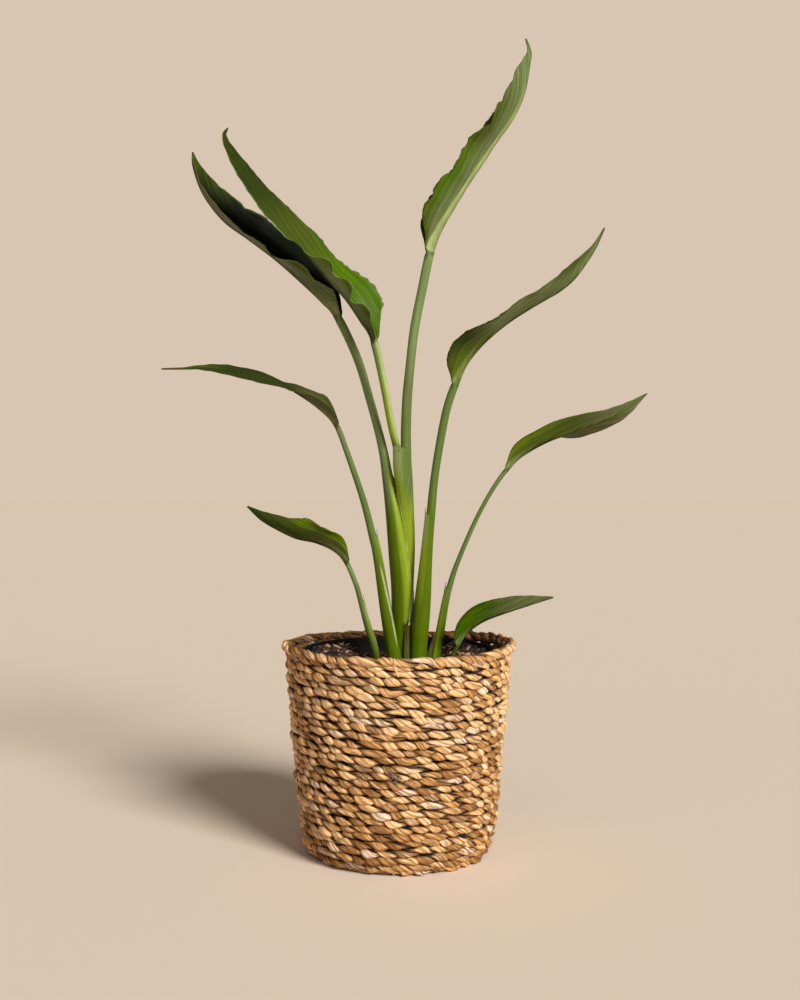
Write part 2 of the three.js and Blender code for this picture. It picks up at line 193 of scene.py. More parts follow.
def finish_material(nodes, varying, uniform):
    """Ends a material in one Principled shader."""
    shader = nodes.add("ShaderNodeBsdfPrincipled", None, {**uniform, **varying})
    nodes.add("ShaderNodeOutputMaterial", None, {"Surface": shader})


# ------------------------------------------------------------------ settings

def length(name, description, default):
    return bpy.props.FloatProperty(name=name, description=description, default=default,
                                   subtype="DISTANCE", unit="LENGTH", precision=4)


def amount(name, description, default, subtype="NONE"):
    return bpy.props.FloatProperty(name=name, description=description, default=default,
                                   subtype=subtype)


def how_many(name, description, default, least=0):
    return bpy.props.IntProperty(name=name, description=description, default=default, min=least)


def colour(name, description, default):
    return bpy.props.FloatVectorProperty(name=name, description=description, default=default,
                                         subtype="COLOR", size=3, min=0, max=1)


class BasketSettings(bpy.types.PropertyGroup):
    """Sizes and colours of the basket."""
    rows: how_many("Rows", "Rows of rope in the wall", 28, least=4)
    row_height: length("Row height", "Height of one row of rope", 4.66 * MM)
    foot_radius: length("Foot radius", "Radius of the lowest row at the rope's middle", 57.6 * MM)
    spread: length("Spread", "Growth of that radius up to the rim", 12.5 * MM)
    strand: length("Strand", "Half the width of one strand", 1.92 * MM)
    twist: length("Twist", "Length of rope in which a strand goes round once", 21 * MM)
    unevenness: length("Unevenness", "How far rows stray from their places", 3.6 * MM)
    fibres: how_many("Loose fibres", "Frayed fibres that stand off the rope", 420)
    straw: colour("Straw", "Palest strands", (0.98, 0.62, 0.31))
    tan: colour("Tan", "Most of the strands", (0.66, 0.34, 0.110))
    # Golden is both the colour of the darker strands and the painted shade where the rope dips
    # between lumps.
    golden_and_shade: colour("Golden", "Darker strands, mostly low on the wall", (0.27, 0.108, 0.021))
    # Painted shade: the near-black colour of the rope where it dips between strands.
    crevice_shade: colour("Crevice", "Depths between strands", (0.018, 0.007, 0.002))


class SoilSettings(bpy.types.PropertyGroup):
    """The pot's mix and the nursery pot."""
    crumbs: how_many("Crumbs", "Crumbs of peat", 2600)
    chips: how_many("Bark", "Chips of bark", 520)
    beads: how_many("Perlite", "Beads of perlite", 46)
    peat: colour("Peat", "Dark crumbs", (0.010, 0.006, 0.004))
    bark: colour("Bark", "Bark chips", (0.22, 0.11, 0.06))
    plastic: colour("Pot", "Plastic of the nursery pot", (0.004, 0.004, 0.004))


class LeafSettings(bpy.types.PropertyGroup):
    """Colours and veins of the leaves."""
    vein_spacing: length("Vein spacing", "Distance between two veins", 1.7 * MM)
    fresh: colour("Fresh", "Young tissue near the leaf's base", (0.088, 0.140, 0.0008))
    emerald: colour("Emerald", "Clear green of an open blade", (0.066, 0.136, 0.0006))
    lime: colour("Lime", "Youngest sheaths and stalks", (0.24, 0.33, 0.014))
    jade: colour("Jade", "Clear green of the stalks", (0.108, 0.165, 0.036))
    middle: colour("Middle", "Ordinary leaf green", (0.062, 0.086, 0.008))
    deep: colour("Deep", "Shaded green", (0.028, 0.042, 0.004))
    night: colour("Night", "Upper side in its own shade", (0.0025, 0.004, 0.0006))
    grey: colour("Grey green", "Bloom of the stalks and undersides", (0.132, 0.170, 0.058))
    silver: colour("Silver green", "Palest bloom of the stalks", (0.172, 0.243, 0.080))
    olive: colour("Olive", "Brownish underside", (0.075, 0.075, 0.020))
    umber: colour("Umber", "Greyish brown underside", (0.095, 0.085, 0.034))
    pale: colour("Pale", "Sheath margins and pale midribs", (0.36, 0.43, 0.17))
    dry: colour("Dry", "Dried tips and sheaths", (0.105, 0.062, 0.020))


class StageSettings(bpy.types.PropertyGroup):
    """Floor, light and camera."""
    backdrop: colour("Backdrop", "Colour of the room", (0.686, 0.565, 0.445))
    key: amount("Key light", "Strength of the main light", 3.6)
    fill: amount("Fill light", "Strength of the second light", 0.3)
    ambient: amount("Ambient", "Share of the room's brightness that lights the plant", 0.24,
                    "FACTOR")
    lens: amount("Lens", "Focal length in millimetres", 40.39, "DISTANCE_CAMERA")


# -------------------------------------------------------------------- leaves
#
# A leaf's stations are x, y, z, stalk or midrib radius, and in its blade also half the width and
# the two fold angles, near and far. Positions in millimetres and angles in degrees.
#
# lean: 1 where a leaf leans to the right, -1 to the left. ripple, waves, phase: how far its margins
# wave, in degrees, how many waves there are and where they start. curl: degrees by which each half
# bends up towards its margin. frill: the same for the margins' fine crimp. flounce: degrees, length
# and start of the near margin's deep folds. scallops: depth of the near and the far margin's
# notches as shares of half the width, and the length from one to the next. tip: how far up the
# blade its dry tip starts. dry: dryness all over. rib: how far up the midrib is pale. pale: how
# pale it is there. lip: a sheath's lip, by its height, the degrees by which it is turned to the
# near side, half its width in radians, and how far its middle droops.

PLAIN = {
    "lean": 1, "ripple": 0, "waves": 1, "phase": 0, "curl": 0, "frill": 9, "flounce": (0, 1, 0),
    "scallops": ((0, 0), 1), "tip": 0.95, "dry": 0, "rib": 0.3, "pale": 0.5,
    "lip": (5, 8, 0.75, 0), "sheath": [], "stalk": [],
}
LEAVES = {
    "leaf_1": dict(
        lean=-1, ripple=5, waves=1.6, phase=2.6, curl=8, flounce=(44, 26, -0.36),
        sheath=[
            (-9.5, 2, 100.5, 2.9), (-13, 0, 121, 2.8), (-19.8, -2, 143, 2.4),
            (-23.3, -3, 157, 2.1)],
        stalk=[
            (-24, -3.1, 158, 1.8), (-27, -4, 169, 1.7)],
        blade=[
            (-33.5, -5, 184, 1.6, 2.5, 61, 43), (-41, -6, 191.5, 1.2, 10.5, 61, 43),
            (-52.5, -7, 196.5, 1, 14.5, 54, 38), (-64.5, -8, 199, 0.8, 15.5, 57, 41),
            (-75.5, -9, 204, 0.7, 12, 51, 36), (-86.5, -10, 210.5, 0.6, 7, 59, 42),
            (-95.5, -11, 219, 0.4, 0.4, 59, 42)],
    ),
    "leaf_2": dict(
        lean=-1, ripple=5, waves=2.2, phase=0.6, curl=4, tip=0.84,
        sheath=[
            (0.5, -6, 102, 5), (-2.5, -8, 123.5, 4.7), (-7.3, -9, 150, 4), (-12.8, -10, 186, 3.2),
            (-15.5, -10.4, 199, 2.9)],
        stalk=[
            (-16.2, -10.4, 200, 2.6), (-22, -11, 222.5, 2.2), (-32, -12, 252, 1.9)],
        blade=[
            (-39.5, -13, 271, 1.8, 2.5, 16, 42), (-49.5, -15, 281, 1.3, 12.5, 16, 42),
            (-61, -17, 289, 1.1, 14.5, 5, 22), (-71, -19, 294.5, 1, 14.5, -10, 8),
            (-85, -22, 299, 0.9, 13.5, -20, 18), (-102.5, -26, 303, 0.8, 10.5, -26, 23),
            (-120, -30, 304, 0.7, 4.5, -22, 31), (-132.5, -33, 303.5, 0.6, 1.2, -28, 28),
            (-144.5, -36, 303, 0.4, 0.3, -28, 28)],
    ),
    "leaf_3": dict(
        lean=-1, ripple=5, waves=3, phase=1.1, curl=6, frill=16, scallops=((0, 0.10), 26),
        flounce=(30, 34, 1.2),
        stalk=[
            (3, 4, 90.5, 7.6), (3, 4, 132.5, 7.8), (3, 4, 163.5, 7.7), (0.5, 3.5, 187.5, 6.9),
            (-2.5, 4, 211.5, 5.6), (-6, 6, 232.5, 4.1), (-10.5, 8, 258, 3), (-19, 9, 290, 2.8),
            (-27, 9, 316, 2.9)],
        blade=[
            (-40, 8, 343, 2.8, 3.5, 29, 74), (-49, 7, 352.5, 2.1, 16, 29, 74),
            (-63.5, 5, 365.5, 1.7, 21, 12, 69), (-79.5, 3, 379, 1.5, 22.5, -3, 60),
            (-96, 1, 391, 1.3, 21.5, -3, 58), (-112, -1, 402.5, 1.1, 20, 3, 55),
            (-124.5, -3, 418.5, 0.8, 16.5, 5, 51), (-130.5, -5, 435, 0.6, 7.5, 11, 37),
            (-131, -6, 444.5, 0.4, 0.3, 11, 37)],
    ),
    "leaf_4": dict(
        lean=-1, ripple=5, waves=3.4, phase=0.2, curl=4, frill=16, scallops=((0.04, 0.06), 6),
        flounce=(42, 19, 2.6), rib=0,
        stalk=[
            (4.5, 4, 107, 2.5), (4.5, 4, 158.5, 2.5), (4.2, 3.6, 197.5, 2.5), (3, 2.8, 222, 2.5),
            (0.8, 1.6, 243, 2.5), (-1.2, 0.6, 257, 2.5), (-4.4, -2.4, 271, 2.6),
            (-10, -7, 300.5, 2.6)],
        blade=[
            (-16, -11, 325.5, 2.7, 3.5, 13, 80), (-23, -13, 336, 1.9, 17, 13, 80),
            (-32, -15, 349, 1.6, 22, 9, 58), (-43.5, -18, 362, 1.4, 22, 10, 40),
            (-57.5, -21, 377.5, 1.2, 20.5, -4, 43), (-73, -24, 396.5, 1, 18.5, -21, 33),
            (-89, -27, 417.5, 0.9, 14, -29, 27), (-102.5, -30, 436.5, 0.7, 6.5, -30, 30),
            (-107, -32, 446, 0.5, 2.5, -23, 32), (-104.5, -33, 451, 0.4, 0.3, -23, 32)],
    ),
    "leaf_5": dict(
        lean=1, ripple=3, waves=3.2, phase=2, curl=6, frill=26, scallops=((0.12, 0), 19),
        rib=0.9, pale=2, lip=(4, 55, 0.8, 3.5),
        sheath=[
            (4.5, 4, 97, 4.9), (4.5, 4, 158.5, 5.1), (5.5, 4, 190.5, 5.1), (4.7, 3.6, 215, 5.3),
            (3.6, 2.6, 230, 5.7), (2.3, 1.8, 243, 6.4), (1.9, 1.5, 256, 6.2)],
        stalk=[
            (4.6, 2.9, 257, 3.55), (4.6, 3, 270, 3.45), (5.4, 2.8, 289, 3.3), (7, 2, 306.5, 3.1),
            (10, 2, 332.5, 3.1), (15, 1, 358, 3.1)],
        blade=[
            (20.5, 0, 383.5, 3, 3.8, 42, 45), (26.5, 0, 397, 2, 19, 42, 45),
            (35, 0, 411, 1.5, 23, 41, 48), (44.5, 1, 426.5, 1.3, 22, 29, 44),
            (54, 2, 440.5, 1.2, 23, 37, 43), (63, 3, 454.5, 1.1, 21, 24, 42),
            (72, 4, 467, 1, 20, 34, 44), (78.5, 5, 479.5, 0.9, 17, 36, 43),
            (82.5, 7, 492, 0.8, 13, 45, 26), (84.5, 9, 503.5, 0.7, 8, 53, 27),
            (86, 10, 514, 0.5, 3, 54, 20), (83, 12, 524, 0.4, 0.3, 53, 26)],
    ),
    "leaf_6": dict(
        lean=1, ripple=3, waves=3, phase=3.1, curl=6, frill=16, scallops=((0.06, 0), 23),
        sheath=[
            (12, -3, 101.5, 5.3), (12.5, -4, 123.5, 5.4), (14.5, -5, 151.5, 5.7),
            (17.3, -6, 182.5, 4.5), (19.8, -7, 213, 3.3)],
        stalk=[
            (20.4, -7.1, 214, 3), (22.5, -8, 235.5, 2.7), (26, -10, 258.5, 2.7),
            (30.5, -11, 281, 2.7)],
        blade=[
            (36, -12, 297, 2.6, 3, 45, 46), (39.5, -13, 304.5, 1.9, 13.5, 45, 46),
            (44.5, -14, 312.5, 1.6, 17, 50, 50), (52.5, -15, 321.5, 1.4, 18, 34, 40),
            (61, -17, 329, 1.3, 18, 16, 29), (70.5, -19, 336, 1.2, 17.5, 16, 23),
            (82, -21, 343, 1.1, 17, 20, 22), (91, -23, 348, 1, 15.5, 18, 27),
            (100, -25, 353, 0.9, 14, 29, 22), (108, -27, 359.5, 0.8, 12.5, 38, 16),
            (115, -29, 368.5, 0.7, 8.5, 41, 16), (121, -31, 378, 0.5, 4, 40, 16),
            (126, -34, 389.5, 0.4, 0.3, 35, 27)],
    ),
    "leaf_7": dict(
        lean=1, ripple=4, waves=2.2, phase=0.9, curl=5,
        sheath=[
            (21.5, 6, 100, 3.3), (24.5, 8, 123, 3.2), (29.2, 11, 150, 2.7), (32.1, 11.8, 164, 2.4)],
        stalk=[
            (32.7, 11.9, 165, 2.1), (38, 13, 181, 1.7), (50, 16, 208.5, 1.5),
            (61.5, 18, 229.5, 1.5)],
        blade=[
            (72, 20, 244, 1.6, 2.2, 58, 33), (81, 21, 252.5, 1.3, 9.5, 58, 33),
            (97, 23, 261.5, 1.1, 13, 47, 27), (114, 25, 268, 1, 14, 41, -12),
            (133, 28, 275.5, 0.8, 12.5, 28, -33), (151, 31, 283.5, 0.6, 8, 26, -44),
            (167, 34, 294.5, 0.4, 0.3, 26, -44)],
    ),
    "leaf_8": dict(
        lean=1, ripple=3, waves=1.3, phase=1, curl=8,
        stalk=[
            (30.5, 0, 101, 1.8), (34, -2, 120.5, 1.8)],
        blade=[
            (38, -4, 131.5, 1.5, 2.2, 64, 38), (43.5, -6, 139, 1.1, 9, 64, 38),
            (53.5, -9, 146.5, 0.9, 12.5, 65, 38), (66.5, -13, 152, 0.8, 12.5, 57, 31),
            (80.5, -17, 157, 0.6, 9, 53, 27), (96.5, -21, 162.5, 0.4, 0.3, 53, 27)],
    ),
    "dry_sheath_1": dict(
        dry=0.3, rib=0,
        blade=[
            (5.7, -5.8, 112, 0.5, 1.3, 100, -80), (5.4, -5.9, 121, 0.5, 1.7, 100, -80),
            (5.6, -6.3, 134, 0.5, 1.5, 100, -80), (6.2, -7.2, 147, 0.4, 0.5, 100, -80)],
    ),
    "dry_sheath_2": dict(
        dry=0.25, rib=0,
        blade=[
            (18.2, 4.3, 111, 0.5, 1.4, 100, -80), (19.8, 4, 121, 0.5, 1.5, 100, -80),
            (23, 4.4, 135, 0.4, 0.5, 100, -80)],
    ),
}

# Tones by the first letter of their names, from foot to tip, of each leaf's stem at its back and at
# its front, its upper side near and far, its underside near and far, and its margin. After a slash
# come the tones along the margin, where they differ from those along the midrib. On a sheath the
# front is its pale inner tissue; on a stalk without a sheath it is painted light, a lighter side
# where the light falls.
TONES = {
    "leaf_1": ("FJS", "LLP", "DMM", "FMM", "MODDD/FFFMD", "OOD", "D"),
    "leaf_2": ("FFJJG", "FFL", "DDDDD", "DODDMD", "ODOD", "ODD", "O"),
    "leaf_3": ("FFFFGSSS", "LLLLLSSS", "NNNNM", "NNNNDM", "GMUUO", "OOO", "S"),
    "leaf_4": ("FFFFLS", "LLLLPP", "EEMMDDM", "EEEMDDM", "MGEM/MFEM", "MMM", "S"),
    "leaf_5": ("FLJJGSS", "LLLP", "DDD", "DMD", "GGGGG/MEMGG", "GGG", "D"),
    "leaf_6": ("FFJJ", "FFFLP", "DDD", "DMD", "FMGGGG/MDGGMG", "FMG", "D"),
    "leaf_7": ("FFJJG", "LLL", "FDD", "MDD", "MMMGG/FFMGG", "MDOG", "O"),
    "leaf_8": ("FM", "LM", "MDD", "MDD", "EEGG/EEEGG", "GOU", "D"),
    "dry_sheath_1": ("DD", "DD", "FO", "FO", "FO", "FO", "O"),
    "dry_sheath_2": ("DD", "DD", "FO", "FO", "FO", "FO", "G"),
}
COLUMNS = 11            # strips in each half of a blade
RING = 4 * COLUMNS + 6  # points in one ring round a leaf
PLEAT_SPACING = 5.3     # from one soft pleat of a blade to the next
LINE_SPACING = 3.4      # from one pale line of a blade to the next
BLADE_HALF, MARGIN_HALF = 0.24, 0.12  # half the thickness of a blade and of its margin


def station_at(stations, place):
    """Values between stations, by a Catmull-Rom spline through them."""
    last = len(stations) - 1
    index = min(int(place), last - 1)
    share = place - index
    a, b = stations[index], stations[index + 1]
    before = stations[index - 1] if index > 0 else 2 * a - b
    after = stations[index + 2] if index + 2 <= last else 2 * b - a
    leave, arrive = (b - before) / 2, (after - a) / 2
    square = 3 * (b - a) - 2 * leave - arrive
    cube = 2 * (a - b) + leave + arrive
    return a + share * (leave + share * (square + share * cube))


def frame_at(stations, place, lean):
    """Values, centre, direction, near side and upper side at a place."""
    last, step = len(stations) - 1, 0.02
    ahead = station_at(stations, min(place + step, last))[:3]
    back = station_at(stations, max(place - step, 0))[:3]
    along = (ahead - back) / np.linalg.norm(ahead - back)
    side = np.array((0, -1.0, 0)) + along[1] * along
    side /= np.linalg.norm(side)
    values = station_at(stations, place)
    return values, values[:3], along, side, lean * np.cross(side, along)


def wave(x, seed):
    """A smooth uneven line between -1 and 1."""
    waves = ((1, 1, 1), (0.6, 2.3, 1.7), (0.4, 5.1, 3.1))
    return sum(size * math.sin(rate * x + start * seed) for size, rate, start in waves) / 2


def smooth(value, low, high):
    """0 below a range, 1 above it, and a smooth step between."""
    share = np.clip((value - low) / (high - low), 0, 1)
    return share * share * (3 - 2 * share)


def ring_faces(rows, around, closed=False):
    """Four-sided faces between rings of points, and from the last ring to the first if closed."""
    faces = []
    for row in range(rows if closed else rows - 1):
        below, above = row * around, (row + 1) % rows * around
        for i in range(around):
            j = (i + 1) % around
            faces.append((below + i, below + j, above + j, above + i))
    return faces


class LeafMesh:
    """Collects one leaf's rings with the values that its material reads."""

    def __init__(self, name, palette):
        self.leaf = {**PLAIN, **LEAVES[name]}
        self.zones = [[[palette[letter] for letter in tones] for tones in zone.split("/")]
                      for zone in TONES[name]]
        # For each point: its tone; how far across and along the leaf it is, and its share of the
        # way to the margin; how dry and how pale it is, and -1 on a stem, 0 or 1 on a blade's
        # upper side or underside.
        self.points, self.flaps = [], []
        self.tone, self.place, self.state = [], [], []

    def tone_at(self, zone, along, share):
        """The tone of a zone at a place along the leaf, for each share of the way to the margin."""
        found = []
        for tones in (self.zones[zone][0], self.zones[zone][-1]):
            at = min(max(along, 0), 1) * (len(tones) - 1)
            index = max(min(int(at), len(tones) - 2), 0)
            blend = smooth(at - index, 0, 1)
            found.append(tones[index] * (1 - blend) + tones[min(index + 1, len(tones) - 1)] * blend)
        outer = smooth(np.asarray(share), 0.25, 0.85)[:, None]
        return found[0] * (1 - outer) + found[1] * outer

    def add_ring(self, points, tones, places, states):
        self.points.append(points)
        self.tone.append(tones)
        self.place.append(places)
        self.state.append(states)

    def sections(self, stations, places):
        """For each place its share of the way, the length up to it and its frame."""
        travelled, before = 0.0, None
        for step, place in enumerate(places):
            section = frame_at(stations, place, self.leaf["lean"])
            if before is not None:
                travelled += np.linalg.norm(section[1] - before)
            before = section[1]
            yield step / (len(places) - 1), travelled, section

    def ripple(self, along, half):
        """Degrees by which a half's margin bends in its slow waves."""
        start = self.leaf["phase"] + 2.1 * half
        angle = TURN * self.leaf["waves"] * along
        calm = 0.12  # the lowest share of a blade, which waves less
        strength = 0.2 + 6.7 * along if along < calm else 1 - (along - calm)
        both = math.sin(angle + start) + 0.5 * math.sin(2.3 * angle + 1.7 * start)
        return self.leaf["ripple"] * strength * both

    def half_section(self, section, along, travelled, half):
        """One half of a blade's cross-section, from beside the midrib to the margin."""
        values, centre, _, side, upper = section
        leaf = self.leaf
        fold = values[5 + half]
        away = -1 if half else 1
        ripple = self.ripple(along, half)
        seed = 3.7 * half + leaf["phase"]
        frill = leaf["frill"] * wave(travelled / 1.6, seed) * min(1, 8 * along) * (1 - along)
        swing, reach, turn = leaf["flounce"]
        flounce = (1 - half) * swing * math.sin(TURN * travelled / reach + turn)
        flounce *= min(1, 12 * along) * (1 - smooth(along, 0.35, 0.6))
        depth, spacing = leaf["scallops"]
        lobe = abs(math.sin(math.pi * travelled / spacing + seed))
        nick = 1 - 0.035 * max(0, wave(travelled / 1.7, 2 * seed)) ** 2
        nick -= depth[half] * (1 - lobe) ** 1.6 * min(1, 6 * (1 - along))
        rib = min(1.2 * values[3] / values[4], 0.4)
        shares = np.concatenate(([0], np.linspace(rib, 1, COLUMNS + 1)))
        width = values[4] * nick
        point = centre + 0.3 * values[3] * upper
        points, normals = [point], []
        for column in range(COLUMNS + 1):
            share = (shares[column] + shares[column + 1]) / 2
            edge = max(0, share - 0.6) / 0.4
            angle = math.radians(fold + leaf["curl"] * (2 * share - 1) + 2 * ripple * share ** 2
                                 + frill * edge ** 2 + flounce * edge)
            step = width * (shares[column + 1] - shares[column])
            flat, steep = math.cos(angle), math.sin(angle)
            points.append(points[-1] + step * (away * flat * side + steep * upper))
            normals.append(flat * upper - away * steep * side)
        return np.array(points), np.array(normals), -away * shares[1:] * width, shares[1:]

    def add_blade(self, stations, first):
        """Rings round a blade, along its upper side and back along its underside."""
        leaf = self.leaf
        last = len(stations) - 1
        places = np.linspace(first, last, 9 * (last - first) + 1)
        for along, travelled, section in self.sections(stations, places):
            values = section[0]
            near, far = (self.half_section(section, along, travelled, half) for half in (0, 1))
            crest = near[1][0] + far[1][0]
            crest /= np.linalg.norm(crest)
            surface = np.concatenate((near[0][:0:-1], far[0]))
            normals = np.concatenate((near[1][::-1], [crest], far[1]))
            across = np.concatenate((near[2][::-1], [0], far[2]))
            shares = np.concatenate((near[3][::-1], [0], far[3]))
            pleat = 0.16 * np.sin(TURN * (np.abs(across) - 0.18 * travelled) / PLEAT_SPACING)
            pleat *= np.clip(shares * 3 - 0.6, 0, 1) * min(1, 6 * along, 6 * (1 - along))
            surface = surface + pleat[:, None] * normals
            thick = np.where(shares > 0.97, MARGIN_HALF, BLADE_HALF)[:, None]
            above, below = surface + thick * normals, surface - thick * normals
            groove = np.exp(-(across / (0.7 * values[3] + 0.1)) ** 2)[:, None]
            above -= 0.35 * values[3] * groove * crest
            below[COLUMNS + 1] -= 1.2 * values[3] * crest
            withered = smooth(along, leaf["tip"], leaf["tip"] + 0.04)
            dryness = np.full_like(across, max(withered, leaf["dry"]))
            reach = leaf["rib"]
            pale = 1 - smooth(along, 0.2 * reach, reach) if reach else 0
            pale *= leaf["pale"] * smooth(along, -0.03, 0.03)
            rib = np.minimum(pale * np.exp(-(across / (1.1 * values[3] + 0.15)) ** 4), 1)
            margin = smooth(shares, 0.92, 1)[:, None] * 0.6
            places = np.stack((across, np.full_like(across, travelled), shares), axis=1)
            tones, states = [], []
            for under in (0, 1):
                sides = [self.tone_at(2 + 2 * under + half, along, shares) for half in (0, 1)]
                tone = np.where((across < 0)[:, None], sides[0], sides[1])
                tones.append(tone * (1 - margin) + self.tone_at(6, along, shares) * margin)
                states.append(np.stack((dryness, rib, np.full_like(across, under)), axis=1))
            self.add_ring(np.concatenate((above, below[::-1])),
                          np.concatenate((tones[0], tones[1][::-1])),
                          np.concatenate((places, places[::-1])),
                          np.concatenate((states[0], states[1][::-1])))

    def add_stem(self, stations, places, from_share, to_share, mouth=None):
        """Rings round a stretch of sheath or stalk, with a channel along the upper side.

        A sheath's mouth, given as the stalk's first station, ends in a pointed lip on the upper
        side and passes smoothly into the stalk on the others.
        """
        angles = TURN * (0.25 - (np.arange(RING) + 0.5) / RING)  # 0 on the upper side
        turned = np.abs((angles + math.pi) % TURN - math.pi)
        channel = 1 - 0.16 * np.exp(-(np.sin(angles / 2) / 0.16) ** 2)
        _, lip_turn, _, droop = self.leaf["lip"]
        start = 0.35 + math.radians(lip_turn)
        for progress, travelled, section in self.sections(stations, places):
            values, centre, along, side, upper = section
            share = from_share + (to_share - from_share) * progress
            around = (channel * np.cos(angles))[:, None] * upper + np.sin(angles)[:, None] * side
            ring = centre + values[3] * around
            # Painted light: on a stalk without a sheath the front tones lighten the side that the
            # light falls on.
            front = np.exp(-(angles - 0.6) ** 4) * (0 if self.leaf["sheath"] else 1)
            front_share = share
            if mouth is not None:
                shift = mouth[:3] - stations[-1][:3]
                shift = shift - shift.dot(along) * along
                inner = centre + shift + mouth[3] * around
                close = smooth(progress, 0.55, 1) * smooth(turned, start, start + 1.35)[:, None]
                ring = ring * (1 - close) + inner * close
                sunk = droop * smooth(progress, 0.8, 1)
                ring = ring - (sunk * np.exp(-(angles / 0.7) ** 2))[:, None] * along
                front = np.exp(-((angles - 0.4 * start) / (0.75 + 1.1 * (1 - progress))) ** 2)
                front_share = progress
            nought = np.zeros(RING)
            tone = self.tone_at(0, share, nought) * (1 - front)[:, None]
            tone = tone + self.tone_at(1, front_share, nought) * front[:, None]
            spot = np.stack((values[3] * angles, np.full(RING, travelled), nought), axis=1)
            self.add_ring(ring, tone, spot, np.tile((0.0, 0.0, -1.0), (RING, 1)))
        if mouth is not None:
            order = np.argsort(angles)
            self.add_lip(angles[order], ring[order], tone[order], centre, along)

    def add_lip(self, angles, ring, tone, centre, along):
        """A thin pointed flap that stands at a sheath's mouth."""
        height, turned, width, _ = self.leaf["lip"]
        rows = columns = 9
        points, tones, places, states = [], [], [], []
        for thickness in (0.22, -0.12):
            for rise in np.linspace(-0.35, 1, rows):
                reach = width * (1 - max(rise, 0) ** 1.7)
                for across in np.linspace(-1, 1, columns):
                    angle = math.radians(turned) + across * max(reach, 0.01)
                    base = np.array([np.interp(angle, angles, ring[:, axis]) for axis in range(3)])
                    out = (base - centre) / np.linalg.norm(base - centre)
                    bend = thickness * (1 - 0.6 * across ** 2) + 0.35 * max(rise, 0) ** 2
                    points.append(base + rise * height * along + bend * out)
                    tones.append([np.interp(angle, angles, tone[:, axis]) for axis in range(3)])
                    places.append((3 * across, height * rise, 0))
                    states.append((smooth(rise, 0.45, 1.1), 0, -1))
        faces, layer_size = [], rows * columns
        for layer in (0, 1):
            for row in range(rows - 1):
                for column in range(columns - 1):
                    a = layer * layer_size + row * columns + column
                    face = (a, a + 1, a + 1 + columns, a + columns)
                    faces.append(face if layer else face[::-1])
        rim = [*range(columns), *range(2 * columns - 1, layer_size, columns),
               *range(layer_size - 2, layer_size - columns - 1, -1),
               *range(layer_size - 2 * columns, 0, -columns)]
        for a, b in zip(rim, [*rim[1:], rim[0]]):
            faces.append((a, b, b + layer_size, a + layer_size))
        self.flaps.append((points, faces, tones, places, states))

    def build(self):
        """Sheath, stalk and blade as one skin: its points, faces and fields."""
        leaf = self.leaf
        stalk = [(*row, 0, *leaf["blade"][0][5:]) for row in leaf["stalk"]]
        stations = np.array([*stalk, *leaf["blade"]], dtype=float)
        middle = 0.45 if leaf["sheath"] else 0.0
        if leaf["sheath"]:
            sheath = np.array(leaf["sheath"], dtype=float)
            last = len(sheath) - 1
            self.add_stem(sheath, np.linspace(0, last, 7 * last + 1), 0, middle, stations[0])
        if stalk:
            self.add_stem(stations, np.linspace(0, len(stalk) - 0.2, 6 * len(stalk)), middle, 1)
        self.add_blade(stations, len(stalk))
        return self.mesh()

    def mesh(self):
        """All rings joined into one skin and closed at both ends, with the lip beside it."""
        points = np.concatenate(self.points)
        rows = len(self.points)
        faces = ring_faces(rows, RING)
        ends = []
        for row, turned in ((0, True), (rows - 1, False)):
            start = row * RING
            centre = len(points) + len(ends)
            ends.append(points[start:start + RING].mean(axis=0))
            for i in range(RING):
                a, b = start + i, start + (i + 1) % RING
                faces.append((b, a, centre) if turned else (a, b, centre))
        points = np.concatenate((points, ends))
        fields = {}
        for index, name in enumerate(("tone", "place", "state")):
            values = np.concatenate(getattr(self, name))
            flaps = [np.array(flap[2 + index], dtype=float) for flap in self.flaps]
            fields[name] = np.concatenate((values, values[:1], values[-1:], *flaps))
        for flap in self.flaps:
            faces += [tuple(i + len(points) for i in face) for face in flap[1]]
            points = np.concatenate((points, flap[0]))
        return points * MM, faces, fields


def outward(mesh):
    """Turns a closed mesh right side out where it is inside out."""
    mesh.calc_loop_triangles()
    volume = 0.0
    for triangle in mesh.loop_triangles:
        a, b, c = (mesh.vertices[corner].co for corner in triangle.vertices)
        volume += a.dot(b.cross(c))
    if volume < 0:
        mesh.flip_normals()


def new_mesh(name, points, edges, faces):
    """A mesh from its points in metres and its edges or faces."""
    mesh = bpy.data.meshes.new(name)
    mesh.from_pydata([tuple(point) for point in points], edges, faces)
    return mesh


def new_object(name, data):
    """An object in the scene that holds a mesh, a light or a camera."""
    made = bpy.data.objects.new(name, data)
    bpy.context.scene.collection.objects.link(made)
    return made


def settle(piece):
    """Makes what a piece's modifiers give its plain mesh."""
    graph = bpy.context.evaluated_depsgraph_get()
    mesh = bpy.data.meshes.new_from_object(
        piece.evaluated_get(graph), preserve_all_data_layers=True, depsgraph=graph)
    piece.modifiers.clear()
    piece.data = mesh


def make_piece(name, points, faces, material, fields=None):
    """A mesh object at the origin, with its fields as attributes."""
    mesh = new_mesh(name, points, [], faces)
    for field, values in (fields or {}).items():
        if field == "tone":
            attribute = mesh.attributes.new(field, "FLOAT_COLOR", "POINT")
            colours = np.concatenate((values, np.ones((len(values), 1))), axis=1)
            attribute.data.foreach_set("color", colours.astype(np.float32).ravel())
        else:
            attribute = mesh.attributes.new(field, "FLOAT_VECTOR", "POINT")
            attribute.data.foreach_set("vector", np.asarray(values, dtype=np.float32).ravel())
    mesh.polygons.foreach_set("use_smooth", [True] * len(mesh.polygons))
    mesh.materials.append(material)
    mesh.update()
    outward(mesh)
    return new_object(name, mesh)


# ------------------------------------------------------------ geometry trees

KINDS = {
    float: "NodeSocketFloat", int: "NodeSocketInt", "length": "NodeSocketFloat",
    "material": "NodeSocketMaterial", "geometry": "NodeSocketGeometry",
}


